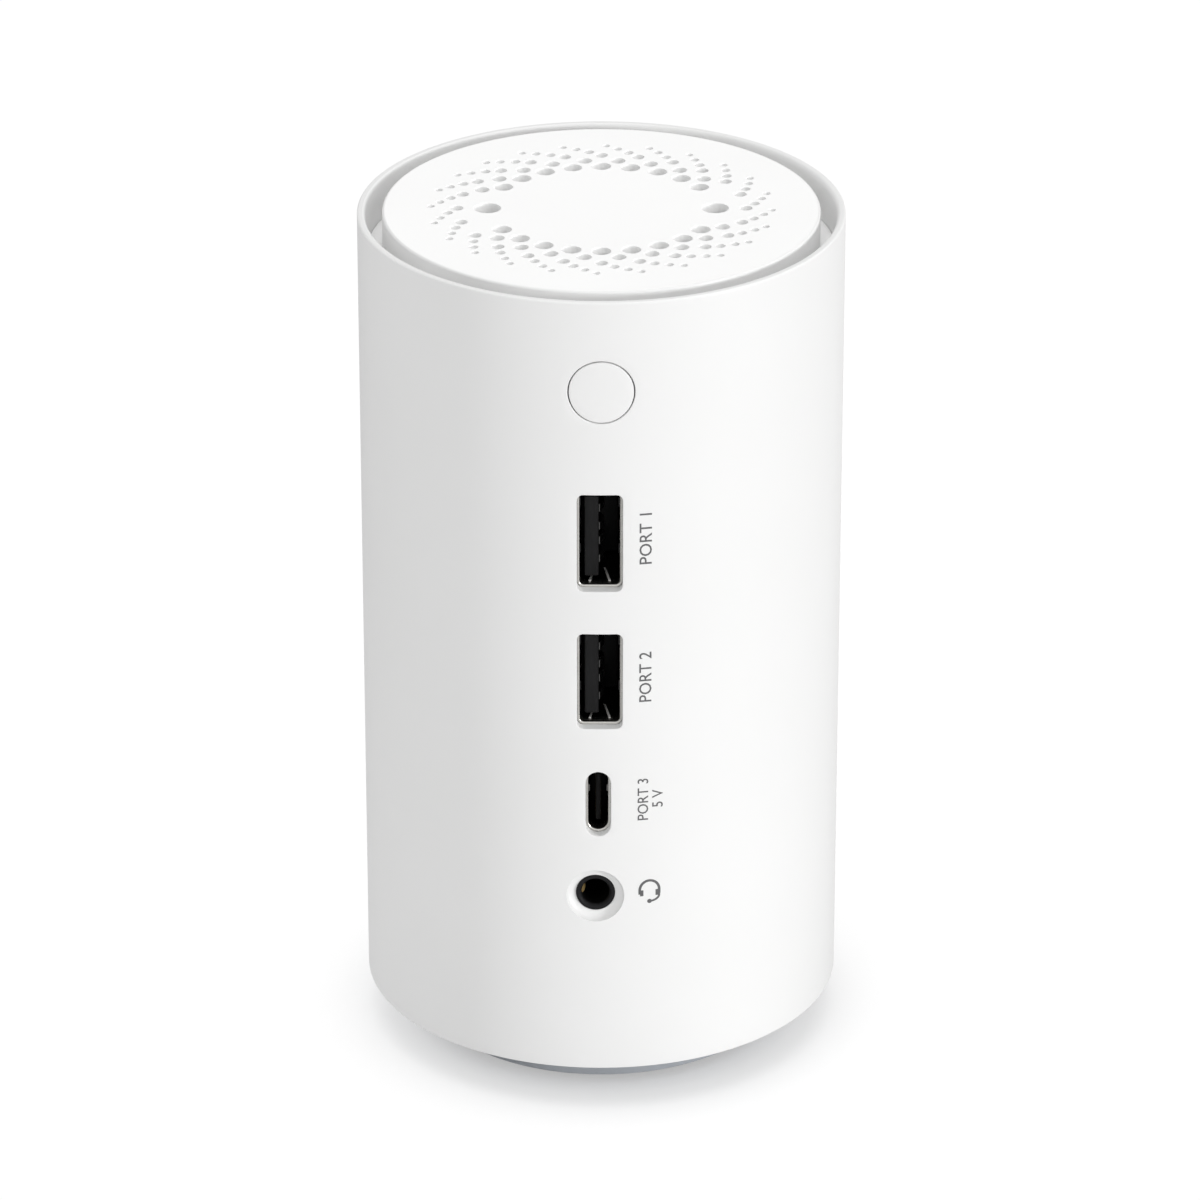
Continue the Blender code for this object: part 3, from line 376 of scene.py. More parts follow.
# %% Windows in the tube
Window = namedtuple("Window", "side x z width height corner edge collar")
SOCKET_ROOM = 0.03 * MM
EDGE_ROUND = 0.12 * MM
COLLAR_LAP = 0.15 * MM
COLLAR_WALL = 0.6 * MM
SOCKET_DROP = 0.18 * MM


def socket_box(node_name):
    """Box of a can; those on the front reach a little lower than the frame's, as in the picture."""
    low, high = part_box(node_name)
    drop = SOCKET_DROP if low.y < 0 else 0.0
    return Vector((low.x, low.y, low.z - drop)), high


def rolled_edge(radius, steps=4):
    """Offset and depth of points down a round edge, from the tube's face into a window."""
    turns = [math.radians(90 * step / steps) for step in range(steps + 1)]
    return [(radius * (1 - math.sin(turn)), radius * (1 - math.cos(turn))) for turn in turns]


def socket_window(node_name, side, corner):
    """Window round a socket's metal, with room on every side; a corner of None makes its ends round."""
    low, high = socket_box(node_name)
    width, height = high.x - low.x + 2 * SOCKET_ROOM, high.z - low.z + 2 * SOCKET_ROOM
    spot = (low + high) / 2
    collar = inner_radius - (high.y if side > 0 else -low.y) + COLLAR_LAP
    return Window(side, spot.x, spot.z, width, height, corner or width / 2, rolled_edge(EDGE_ROUND), collar)


def round_window(node_name, side, diameter, edge, x=None, collar=0.0):
    """Round window on a part's middle."""
    spot = middle(node_name)
    return Window(side, spot.x if x is None else x, spot.z, diameter, diameter, diameter / 2, edge, collar)


USB_A_WINDOW_CORNER = 0.8 * MM
BUTTON_DIAMETER = 8.15 * MM
BUTTON_GAP = 0.17 * MM
INLET_WINDOW = 6.6 * MM
JACK_X = -0.75 * MM
DISH_FLOOR = 5.1 * MM
DISH_RUN = 1.15 * MM
DISH_DEPTH = 1.05 * MM
DISH_LIP = 0.05 * MM
DISH_COLLAR = 0.3 * MM
BOWL_STEPS = 10

turns = [math.radians(90 * step / BOWL_STEPS) for step in range(BOWL_STEPS + 1)]
bowl = [(DISH_RUN * math.cos(turn), DISH_DEPTH * math.sin(turn)) for turn in turns]
dish_lip = eased([(DISH_RUN + 2 * DISH_LIP, 0), *bowl[:2]], DISH_LIP, 3, closed=False)
dish_edge = [tuple(point) for point in dish_lip] + bowl[2:]
windows = [
    round_window("power_button", -1, BUTTON_DIAMETER + 2 * BUTTON_GAP, rolled_edge(EDGE_ROUND)),
    socket_window("usb_a_upper_shell", -1, USB_A_WINDOW_CORNER),
    socket_window("usb_a_lower_shell", -1, USB_A_WINDOW_CORNER),
    socket_window("usb_c_front_shell", -1, None),
    round_window("audio_jack_body", -1, DISH_FLOOR, dish_edge, JACK_X, DISH_COLLAR),
    socket_window("host_port_shell", 1, None),
    round_window("power_inlet_body", 1, INLET_WINDOW, rolled_edge(EDGE_ROUND)),
]
for window in windows:
    sizes = [round(v / MM, 2) for v in window[1:6]]
    print("window", "front" if window.side < 0 else "back", sizes, "collar", round(window.collar / MM, 2))

# %% Points of a window
ARC_SHARE = 0.3


def window_side(along, out, corner, steps):
    """Points of one side of a window, from the middle of one corner to just before that of the next."""
    straight = along - corner
    bends = round(ARC_SHARE * steps) if straight > WELD else steps / 2
    points = []
    for step in range(steps):
        turn = 0.0
        slide = straight
        if step < bends:
            turn = math.pi / 4 * (step / bends - 1)
            slide = -straight
        elif step > steps - bends:
            turn = math.pi / 4 * (step - steps + bends) / bends
        elif steps > 2 * bends:
            slide = straight * (2 * (step - bends) / (steps - 2 * bends) - 1)
        points.append((slide + corner * math.sin(turn), out - corner + corner * math.cos(turn)))
    return points


def window_loop(window, offset, across, up):
    """Loop round a window at an offset outside its edge, from its lower left corner to the right and up."""
    wide, high = window.width / 2 + offset, window.height / 2 + offset
    corner = window.corner + offset
    loop = [(s, -t) for s, t in window_side(wide, high, corner, across)]
    loop += [(t, s) for s, t in window_side(high, wide, corner, up)]
    loop += [(-s, t) for s, t in window_side(wide, high, corner, across)]
    loop += [(-t, -s) for s, t in window_side(high, wide, corner, up)]
    return [(window.x + x, window.z + z) for x, z in loop]


print("points round the first window:", len(window_loop(windows[0], 0, 2 * STRIP_COLUMNS, 8)))

# %% Patch of the net round a window
BLEND_RINGS = 5


def patch_of(window):
    """Columns and levels that a window's patch takes from the net, in order of growing x and z."""
    centre = 0 if window.side < 0 else TUBE_COLUMNS // 2
    columns = [centre + step for step in range(-STRIP_COLUMNS, STRIP_COLUMNS + 1)]
    if window.side > 0:
        columns.reverse()
    widest = window.edge[0][0]
    reach = window.height / 2 + min(widest, PATCH_MARGIN / 4) + PATCH_MARGIN
    low = math.floor((window.z - reach - tube_low.z) / LEVEL_STEP)
    high = math.ceil((window.z + reach - tube_low.z) / LEVEL_STEP)
    return [column % TUBE_COLUMNS for column in columns], low, high


def on_tube(radius, x, z, side, depth=0.0):
    """Point on the front or back of a tube, or that far inside it."""
    return Vector((x, side * (math.sqrt(radius * radius - x * x) - depth), z))


def blend_rows(build, border, loop, radius, side):
    """Rows on the tube that lead from a patch's border to a window's loop, the loop included."""
    rows = [border]
    for step in range(1, BLEND_RINGS + 1):
        share = step / BLEND_RINGS
        row = []
        for point, (x, z) in zip(border, loop):
            place = (point.co.x + share * (x - point.co.x), point.co.z + share * (z - point.co.z))
            row.append(build.verts.new(on_tube(radius, *place, side)))
        rows.append(row)
    return rows


def fit_window(build, outer, inner, window):
    """Fills a window's patch on the outer and inner net, with the edge and the wall between them."""
    columns, low, high = patch_of(window)
    border = [(column, low) for column in columns[:-1]]
    border += [(columns[-1], level) for level in range(low, high)]
    border += [(column, high) for column in columns[:0:-1]]
    border += [(columns[0], level) for level in range(high, low, -1)]
    across, up = 2 * STRIP_COLUMNS, high - low

    def ring(radius, offset, depth):
        """Row of new points round the window, at an offset outside its edge and a depth in a tube."""
        loop = window_loop(window, offset, across, up)
        return [build.verts.new(on_tube(radius, x, z, window.side, depth)) for x, z in loop]

    loop = window_loop(window, window.edge[0][0], across, up)
    rows = blend_rows(build, [outer[key] for key in border], loop, tube_radius, window.side)
    rows += [ring(tube_radius, offset, depth) for offset, depth in window.edge[1:]]
    wall = COLLAR_WALL if window.collar else 0.0
    loop = window_loop(window, wall, across, up)
    inside = blend_rows(build, [inner[key] for key in border], loop, inner_radius, window.side)
    if window.collar:
        rows += [ring(inner_radius, offset, window.collar) for offset in (0.0, wall)]
    rows += inside[::-1]
    for first, second in zip(rows, rows[1:]):
        band(build, first, second)


print("patches:", [patch_of(window)[1:] for window in windows])

# %% Skins, rim and lower edge
EDGE_STEPS = 6


def net_point(radius, column, z):
    """Point of a column of the net, at a radius and a height."""
    angle = 2 * math.pi * column / TUBE_COLUMNS
    return radius * math.sin(angle), -radius * math.cos(angle), z


def net_skin(build, radius, patches):
    """Net of the tube at a radius, without the patches."""
    inside, gaps = set(), set()
    for columns, low, high in patches:
        ordered = columns if columns[1] == (columns[0] + 1) % TUBE_COLUMNS else columns[::-1]
        inside.update((column, level) for column in ordered[1:-1] for level in range(low + 1, high))
        gaps.update((column, level) for column in ordered[:-1] for level in range(low, high))
    net = {}
    for column in range(TUBE_COLUMNS):
        for level, z in enumerate(levels):
            if (column, level) not in inside:
                net[column, level] = build.verts.new(net_point(radius, column, z))
    for column in range(TUBE_COLUMNS):
        beside = (column + 1) % TUBE_COLUMNS
        for level in range(level_count):
            if (column, level) not in gaps:
                corners = ((column, level), (beside, level), (beside, level + 1), (column, level + 1))
                build.faces.new([net[corner] for corner in corners])
    return net


def edge_rows(build, edge, outward, outside, inside):
    """Rows over the rim or the lower edge; each side's round has a width and a height."""
    turns = [math.radians(90 * step / EDGE_STEPS) for step in range(EDGE_STEPS + 1)]
    rounds = [(1 - math.cos(turn), 1 - math.sin(turn)) for turn in turns]
    steps = [(tube_radius - outside[0] * run, outside[1] * drop) for run, drop in rounds]
    steps += [(inner_radius + inside[0] * run, inside[1] * drop) for run, drop in rounds[::-1]]
    rows = []
    for radius, drop in steps:
        z = edge - outward * drop
        rows.append([build.verts.new(net_point(radius, column, z)) for column in range(TUBE_COLUMNS)])
    return rows


tube = bmesh.new()
patches = [patch_of(window) for window in windows]
outer_net = net_skin(tube, tube_radius, patches)
inner_net = net_skin(tube, inner_radius, patches)
for window in windows:
    fit_window(tube, outer_net, inner_net, window)
rim = (level_count, tube_high.z, 1, (RIM_ROUND, RIM_ROUND), (RIM_SLOPE, RIM_FALL))
lower_edge = (0, tube_low.z, -1, (FOOT_ROUND, FOOT_ROUND), (FOOT_ROUND, FOOT_ROUND))
for level, *shape in (rim, lower_edge):
    rows = [[outer_net[column, level] for column in range(TUBE_COLUMNS)]]
    rows += edge_rows(tube, *shape)
    rows.append([inner_net[column, level] for column in range(TUBE_COLUMNS)])
    for first, second in zip(rows, rows[1:]):
        band(tube, first, second)
open_edges = sum(not edge.is_manifold for edge in tube.edges)
print("tube net:", len(tube.verts), "points,", open_edges, "open edges")

# %% Bosses and lugs inside the tube
BOSS_CIRCLE = inner_radius - 3.4 * MM
BOSS_RADIUS = 2.4 * MM
BOSS_BORE = 1.25 * MM
BOSS_HEIGHT = 9 * MM
BOSS_SEAT = 0.2 * MM
BOSS_POINTS = 24
LUG_REACH = 1.8 * MM
LUG_WIDTH = 6 * MM
LUG_HEIGHT = 3 * MM
CORNER_ANGLES = [math.radians(45 + 90 * index) for index in range(4)]


def slab(build, low, high, turn=0.0):
    """Block between two corners, turned about the upright axis."""
    corners = ((low[0], low[1]), (high[0], low[1]), (high[0], high[1]), (low[0], high[1]))
    turned = [Matrix.Rotation(turn, 3, "Z") @ Vector((x, y, 0)) for x, y in corners]
    skin(build, [[(*corner.xy, z) for corner in turned] for z in (low[2], high[2])], caps=True)


boss_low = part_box("base")[1].z + BOSS_SEAT
lug_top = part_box("channel_ring")[0].z - BOSS_SEAT
for angle in CORNER_ANGLES:
    centre = (BOSS_CIRCLE * math.cos(angle), BOSS_CIRCLE * math.sin(angle))
    boss_top = boss_low + BOSS_HEIGHT
    tops = ((BOSS_BORE, boss_low), (BOSS_RADIUS, boss_low), (BOSS_RADIUS, boss_top), (BOSS_BORE, boss_top))
    lathe(tube, "Z", centre, tops, BOSS_POINTS, wrap=True)
    inside = inner_radius + TUBE_WALL / 2
    low = (inner_radius - LUG_REACH, -LUG_WIDTH / 2, lug_top - LUG_HEIGHT)
    slab(tube, low, (inside, LUG_WIDTH / 2, lug_top), angle)
finished("tube_shell", tube, white_shell, ["outer_shell"])

# %% [markdown]
# ## The vent cap
#
# Warm air leaves through the top: a disc with 24 arms of holes that wind outwards and get smaller, and
# one large hole at each side. Holes could be cut one by one, but they follow a rule, so a Geometry
# Nodes tree makes them. Each ring of the pattern is a circle of points. On every point the tree sets a
# short sleeve with a rounded lip, and it fills the flat face between all the lips and the rim in one
# go. The tree works in millimetres and shrinks at the end. The cap's outer wall becomes a piece of its
# own, so that the lamp that shines into the holes can leave it alone.

# %% Tools for geometry trees
def geometry_tree(name, inputs):
    """New geometry tree with named inputs; returns the tree and its input sockets by name."""
    tree = bpy.data.node_groups.new(name, "GeometryNodeTree")
    tree.interface.new_socket(name="Geometry", in_out="INPUT", socket_type="NodeSocketGeometry")
    for title, kind in inputs:
        tree.interface.new_socket(name=title, in_out="INPUT", socket_type="NodeSocket" + kind)
    tree.interface.new_socket(name="Geometry", in_out="OUTPUT", socket_type="NodeSocketGeometry")
    return tree, add_node(tree, "NodeGroupInput").outputs


def sum_of(tree, kind, first, second):
    """Result of a math node on two values or sockets."""
    return out_of(tree, "ShaderNodeMath", {0: first, 1: second}, operation=kind)


def moved(tree, geometry, **ways):
    """Geometry lifted (Translation) or turned (Rotation) along the upright axis."""
    ways = {way: out_of(tree, "ShaderNodeCombineXYZ", {"Z": value}) for way, value in ways.items()}
    return out_of(tree, "GeometryNodeTransform", {"Geometry": geometry, **ways})


def give_out(tree, geometry, material):
    """Paints the geometry and makes it the tree's output."""
    painted = out_of(tree, "GeometryNodeSetMaterial", {"Geometry": geometry, "Material": material})
    add_node(tree, "NodeGroupOutput", None, {"Geometry": painted})


def joined(tree, parts):
    """All the parts as one geometry."""
    join = add_node(tree, "GeometryNodeJoinGeometry")
    for part in parts:
        tree.links.new(part, join.inputs[0])
    return join.outputs[0]


def evaluated(holder):
    """Mesh of an object with its modifiers applied, as a bmesh; the object is used up."""
    mesh = bpy.data.meshes.new_from_object(holder.evaluated_get(bpy.context.evaluated_depsgraph_get()))
    holder.modifiers.clear()
    bpy.data.objects.remove(holder)
    build = bmesh.new()
    build.from_mesh(mesh)
    bpy.data.meshes.remove(mesh)
    return build


def grown(tree, values):
    """Runs a tree with these input values and returns its mesh as a bmesh."""
    holder = placed("grown", bpy.data.meshes.new("grown"))
    modifier = holder.modifiers.new("tree", "NODES")
    modifier.node_group = tree
    for item in tree.interface.items_tree:
        if item.in_out == "INPUT" and item.name in values:
            modifier[item.identifier] = values[item.name]
    return evaluated(holder)


print("geometry tools: geometry_tree, sum_of, moved, give_out, joined, evaluated, grown")

# %% Tree of the vent cap
RIM_POINTS = 192
HOLE_POINTS = 20
SMALL_HOLE_POINTS = 14
HALF_TURN_LIP = 1 - math.sqrt(0.5)
VENT_RINGS = (
    (14.56, 0.0, 2.5, HOLE_POINTS),
    (16.64, 7.5, 1.91, HOLE_POINTS),
    (18.48, 15.0, 1.65, HOLE_POINTS),
    (19.69, 19.7, 1.32, SMALL_HOLE_POINTS),
    (20.8, 24.2, 1.16, SMALL_HOLE_POINTS),
    (21.83, 28.3, 0.99, SMALL_HOLE_POINTS),
)
SHORT_RINGS = 2

CAP_SIZES = ("Cap Radius", "Cap Plate", "Cap Skirt", "Cap Wall", "Cap Edge")
cap_inputs = [("Arms", "Int"), ("Material", "Material")]
cap_inputs += [(what, "Float") for what in ("Short Angle", "Side Hole", "Hole Lip", *CAP_SIZES)]
for number in range(1, len(VENT_RINGS) + 1):
    cap_inputs += [(f"Ring {number} {what}", "Float") for what in ("Radius", "Turn", "Hole")]
cap_tree, cap_given = geometry_tree("vent_cap", cap_inputs)


def cone_between(tree, low, high, count):
    """Open cone wall between two circles, each given as a radius and a height."""
    depth = sum_of(tree, "SUBTRACT", high[1], low[1])
    sizes = {"Vertices": count, "Radius Bottom": low[0], "Radius Top": high[0], "Depth": depth}
    wall = out_of(tree, "GeometryNodeMeshCone", sizes, "Mesh", fill_type="NONE")
    return moved(tree, wall, Translation=low[1])


def on_points(tree, points, item):
    """Copies of an item on every point, made real."""
    spread = out_of(tree, "GeometryNodeInstanceOnPoints", {"Points": points, "Instance": item})
    return out_of(tree, "GeometryNodeRealizeInstances", {"Geometry": spread})


def circle_curve(tree, radius, count):
    """Circle as a curve."""
    sizes = {"Resolution": count, "Radius": radius}
    return out_of(tree, "GeometryNodeCurvePrimitiveCircle", sizes, "Curve")


print("vent cap tree has", len(cap_inputs), "named inputs")

# %% Rings of vent holes
def hole_set(tree, given, points, diameter, count):
    """Lips in the upper face, lips in the under face, and the sleeves between them."""
    radius = sum_of(tree, "MULTIPLY", diameter, 0.5)
    lip = given["Hole Lip"]
    half_lip = sum_of(tree, "MULTIPLY", lip, HALF_TURN_LIP)
    deep = sum_of(tree, "MULTIPLY", given["Cap Plate"], -1.0)
    below = (radius, sum_of(tree, "MULTIPLY", lip, -1.0))
    between = (sum_of(tree, "ADD", radius, half_lip), sum_of(tree, "MULTIPLY", half_lip, -1.0))
    above = (sum_of(tree, "ADD", radius, lip), 0.0)
    stages = [(radius, deep), below, between, above]
    walls = [cone_between(tree, low, high, count) for low, high in zip(stages, stages[1:])]
    upper = on_points(tree, points, circle_curve(tree, above[0], count))
    under = on_points(tree, points, circle_curve(tree, radius, count))
    return upper, under, on_points(tree, points, joined(tree, walls))


def ring_points(tree, given, number):
    """Points of one ring of holes; the first rings leave out the arms near the two sides."""
    sizes = {"Vertices": given["Arms"], "Radius": given[f"Ring {number} Radius"]}
    ring = out_of(tree, "GeometryNodeMeshCircle", sizes, "Mesh", fill_type="NONE")
    if number <= SHORT_RINGS:
        index = out_of(tree, "GeometryNodeInputIndex")
        step = sum_of(tree, "DIVIDE", 360.0, given["Arms"])
        angle = sum_of(tree, "MODULO", sum_of(tree, "MULTIPLY", index, step), 180.0)
        to_side = sum_of(tree, "MINIMUM", angle, sum_of(tree, "SUBTRACT", 180.0, angle))
        short = sum_of(tree, "LESS_THAN", to_side, given["Short Angle"])
        ring = out_of(tree, "GeometryNodeDeleteGeometry", {"Geometry": ring, "Selection": short})
    return moved(tree, ring, Rotation=sum_of(tree, "RADIANS", given[f"Ring {number} Turn"], 0.0))


hole_sets = []
for number, ring in enumerate(VENT_RINGS, start=1):
    points = ring_points(cap_tree, cap_given, number)
    hole_sets.append(hole_set(cap_tree, cap_given, points, cap_given[f"Ring {number} Hole"], ring[3]))
across = out_of(cap_tree, "ShaderNodeCombineXYZ", {"X": cap_given["Ring 1 Radius"]})
back = out_of(cap_tree, "ShaderNodeVectorMath", {0: across, "Scale": -2.0}, operation="SCALE")
ends = {"Count": 2, "Start Location": across, "Offset": back}
sides = out_of(cap_tree, "GeometryNodeMeshLine", ends)
hole_sets.append(hole_set(cap_tree, cap_given, sides, cap_given["Side Hole"], HOLE_POINTS))
print("hole sets:", len(hole_sets))

# %% Faces and skirt of the cap
EDGE_DEGREES = (0, 22.5, 45, 67.5, 90)


def filled(tree, curves):
    """Flat face between an outline and the holes in it."""
    return out_of(tree, "GeometryNodeFillCurve", {"Curve": joined(tree, curves)})


edge, wall = cap_given["Cap Edge"], cap_given["Cap Wall"]
radius = cap_given["Cap Radius"]
skirt_end = sum_of(cap_tree, "MULTIPLY", cap_given["Cap Skirt"], -1.0)
plate_end = sum_of(cap_tree, "MULTIPLY", cap_given["Cap Plate"], -1.0)
inside = sum_of(cap_tree, "SUBTRACT", radius, wall)
flat_radius = sum_of(cap_tree, "SUBTRACT", radius, edge)
rounds = []
for degrees in EDGE_DEGREES:
    run = sum_of(cap_tree, "MULTIPLY", edge, math.cos(math.radians(degrees)))
    rise = sum_of(cap_tree, "MULTIPLY", edge, math.sin(math.radians(degrees)) - 1)
    rounds.append((sum_of(cap_tree, "ADD", flat_radius, run), rise))
stages = [(inside, plate_end), (inside, skirt_end), (radius, skirt_end), *rounds]
skirt = [cone_between(cap_tree, low, high, RIM_POINTS) for low, high in zip(stages, stages[1:])]
upper = [uppers for uppers, _, _ in hole_sets] + [circle_curve(cap_tree, flat_radius, RIM_POINTS)]
under = [unders for _, unders, _ in hole_sets] + [circle_curve(cap_tree, inside, RIM_POINTS)]
under_face = moved(cap_tree, filled(cap_tree, under), Translation=plate_end)
sleeves = [sleeve for _, _, sleeve in hole_sets]
whole = joined(cap_tree, [filled(cap_tree, upper), under_face, *sleeves, *skirt])
real = out_of(cap_tree, "GeometryNodeRealizeInstances", {"Geometry": whole})
small = out_of(cap_tree, "GeometryNodeTransform", {"Geometry": real, "Scale": (MM, MM, MM)})
give_out(cap_tree, small, cap_given["Material"])
print("vent cap tree has", len(cap_tree.nodes), "nodes")

# %% Grow the vent cap
cap_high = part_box("vent_cap")[1]
ring_low, ring_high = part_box("channel_ring")
cap_values = {"Arms": 24, "Short Angle": 20.0, "Side Hole": 3.45, "Hole Lip": 0.07, "Cap Plate": 2.2}
cap_values.update({"Cap Wall": 1.6, "Cap Edge": 0.3, "Cap Radius": cap_high.x / MM, "Material": white_shell})
cap_values["Cap Skirt"] = (cap_high.z - ring_high.z - BOSS_SEAT) / MM
for number, (radius, turn, hole, _) in enumerate(VENT_RINGS, start=1):
    for what, value in (("Radius", radius), ("Turn", turn), ("Hole", hole)):
        cap_values[f"Ring {number} {what}"] = value
cap = grown(cap_tree, cap_values)
bmesh.ops.translate(cap, verts=cap.verts, vec=(0, 0, cap_high.z))
bmesh.ops.remove_doubles(cap, verts=cap.verts, dist=WELD)
print("vent cap:", len(cap.faces), "faces,", sum(not edge.is_manifold for edge in cap.edges), "open edges")

# %% Hooks of the cap
HOOK_OUTSIDE = 24.15 * MM
HOOK_THICKNESS = 1.2 * MM
HOOK_BARB = 0.8 * MM
HOOK_NOSE = 1.2 * MM
HOOK_WIDTH = 6 * MM
HOOK_ROOT = 1.1 * MM

catch = ring_low.z - BOSS_SEAT
root = cap_high.z - HOOK_ROOT
hook = [(HOOK_OUTSIDE - HOOK_THICKNESS, root), (HOOK_OUTSIDE, root), (HOOK_OUTSIDE, catch)]
hook += [(HOOK_OUTSIDE + HOOK_BARB, catch), (HOOK_OUTSIDE, catch - HOOK_NOSE)]
hook += [(HOOK_OUTSIDE - HOOK_THICKNESS, catch - HOOK_NOSE)]
for angle in CORNER_ANGLES:
    spin = Matrix.Rotation(angle, 3, "Z")
    ends = [[spin @ Vector((x, y, z)) for x, z in hook] for y in (-HOOK_WIDTH / 2, HOOK_WIDTH / 2)]
    skin(cap, ends, caps=True)
print("hooks:", len(CORNER_ANGLES))

# %% Face and wall of the cap
WALL_MARGIN = 0.36 * MM
wall = cap.copy()
wall_line = cap_high.x - WALL_MARGIN
for build, is_wall in ((cap, False), (wall, True)):
    others = [face for face in build.faces if (face.calc_center_median().xy.length > wall_line) != is_wall]
    bmesh.ops.delete(build, geom=others, context="FACES")
vent_piece = finished("vent_cap_skin", cap, white_shell, ["vent_cap"])
finished("vent_cap_wall", wall, white_shell)

# %% [markdown]
# ## The channel round the cap
#
# Between the rim and the cap runs a narrow channel, and a loose ring is its floor. It is turned like a
# washer. A plain ring of two circles would do, but the eased corners give the soft line that a moulded
# washer has.

# %% Channel ring
ROUND_POINTS = 160


def turned_ring(build, profile, count, ease):
    """Ring turned about the upright axis from a closed profile of radius and height."""
    lathe(build, "Z", (0, 0), eased(profile, ease), count, wrap=True)


RING_BORE = 24.4 * MM
RING_PLAY = 0.03 * MM
RING_EASE = 0.05 * MM
ring = bmesh.new()
ring_edge = inner_radius - RING_PLAY
washer = [(RING_BORE, ring_low.z), (ring_edge, ring_low.z)]
washer += [(ring_edge, ring_high.z), (RING_BORE, ring_high.z)]
turned_ring(ring, washer, TUBE_COLUMNS, RING_EASE)
channel_piece = finished("channel_floor", ring, white_shell, ["channel_ring"])

# %% [markdown]
# ## The button
#
# The power button is flush with the tube, so its face is a piece of the same cylinder. A flat disc
# would stand out at its sides. The rings of its face lie on the tube, roll over a small edge and run
# back to a flange that keeps the button from falling out, and to the stem that meets the switch. It
# rides on its own body, because it moves.

# %% Button
BUTTON_POINTS = 96
BUTTON_EDGE = 0.08 * MM
FACE_RINGS = 6
FLANGE_RADIUS = BUTTON_DIAMETER / 2 + 0.9 * MM
FLANGE_THICKNESS = 1.0 * MM
STEM_RADIUS = 1.5 * MM
STEM_LENGTH = 1.8 * MM

button_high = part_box("power_button")[1]
button_spot = middle("power_button")
button_radius = BUTTON_DIAMETER / 2
face_radius = button_radius - BUTTON_EDGE
flange_back = button_high.y - STEM_LENGTH
flange_front = flange_back - FLANGE_THICKNESS
face = [(face_radius * step / FACE_RINGS, 0.0) for step in range(FACE_RINGS)]
face += [(face_radius + BUTTON_EDGE - offset, depth) for offset, depth in rolled_edge(BUTTON_EDGE)]
centre = (button_spot.x, button_spot.z)
button_loops = []
for radius, depth in face:
    flat = round_loop("Y", centre, radius, 0.0, BUTTON_POINTS)
    button_loops.append([on_tube(tube_radius, x, z, -1, depth) for x, _, z in flat])
rear = [(button_radius, flange_front), (FLANGE_RADIUS, flange_front), (FLANGE_RADIUS, flange_back)]
rear += [(STEM_RADIUS, flange_back), (STEM_RADIUS, button_high.y), (0.0, button_high.y)]
button_loops += [round_loop("Y", centre, radius, y, BUTTON_POINTS) for radius, y in rear]
button = bmesh.new()
skin(button, button_loops)
finished("button_cap", button, white_shell, ["power_button"], body="button")

# %% [markdown]
# ## Pressed socket cans
#
# A USB socket is a can pressed from thin nickel-plated sheet round a black moulding. Its mouth is a
# thin bright line in the picture. An extruded outline would have a knife edge there, so the sheet's own
# section is eased and swept round the outline. The spring fingers that grip a plug are bent strips in
# windows of the can. Two bent tabs in its floor show only as bright cut edges.

# %% Can and moulding helpers
SHEET = 0.3 * MM
MOUTH_FLAT, MOUTH_BEND = 0.6 * SHEET, 0.88 * SHEET
LEAST_CORNER = 0.005 * MM
HALF_EASE = 0.3


def rounded_loop(width, height, corner, steps=6):
    """Rounded rectangle about (0, 0), always with the same number of points."""
    right, top = width / 2 - corner, height / 2 - corner
    loop = []
    for x, z, start in ((right, top, 0), (-right, top, 90), (-right, -top, 180), (right, -top, 270)):
        for step in range(steps + 1):
            angle = math.radians(start + 90 * step / steps)
            loop.append((x + corner * math.cos(angle), z + corner * math.sin(angle)))
    return loop


def standing(loop, x, y, z):
    """Loop of across and up points, stood upright at a place."""
    return [(x + across, y, z + up) for across, up in loop]


def can(build, node_name, corner, facing):
    """Pressed can in a node's box, open at its mouth, with a rounded sheet edge."""
    low, high = socket_box(node_name)
    spot = (low + high) / 2
    width, height = high.x - low.x, high.z - low.z
    mouth, back = (low.y, high.y) if facing < 0 else (high.y, low.y)
    lip = mouth - facing * SHEET / 3
    section = [(0.0, back), (0.0, mouth), (MOUTH_FLAT, mouth), (MOUTH_BEND, (mouth + lip) / 2)]
    section += [(SHEET, lip), (SHEET, back)]
    loops = []
    for inset, y in section:
        outline = rounded_loop(width - 2 * inset, height - 2 * inset, (corner or width / 2) - inset)
        loops.append(standing(outline, spot.x, y, spot.z))
    skin(build, loops, wrap=True)
    return spot, mouth, back


def bar(build, spot, sizes, ends, ease, corner):
    """Bar along Y with eased ends, from a rounded outline."""
    start, end = ends
    step = ease if end > start else -ease
    stages = [(ease, start), (HALF_EASE * ease, start + HALF_EASE * step), (0.0, start + step)]
    stages += [(0.0, end - step), (HALF_EASE * ease, end - HALF_EASE * step), (ease, end)]
    loops = []
    for inset, y in stages:
        rounding = max(corner - inset, LEAST_CORNER)
        outline = rounded_loop(sizes[0] - 2 * inset, sizes[1] - 2 * inset, rounding, 4)
        loops.append(standing(outline, spot[0], y, spot[1]))
    skin(build, loops, caps=True)


print("socket helpers: rounded_loop, standing, can, bar")

# %% Cutting one mesh from another
def cut_from(build, tool):
    """Cuts a closed mesh out of another with the exact Boolean and returns the result."""
    whole, cutter = [placed("part", welded("part", part)) for part in (build, tool)]
    modifier = whole.modifiers.new("cut", "BOOLEAN")
    modifier.object, modifier.operation, modifier.solver = cutter, "DIFFERENCE", "EXACT"
    result = evaluated(whole)
    bpy.data.objects.remove(cutter)
    return result


print("cut_from ready")

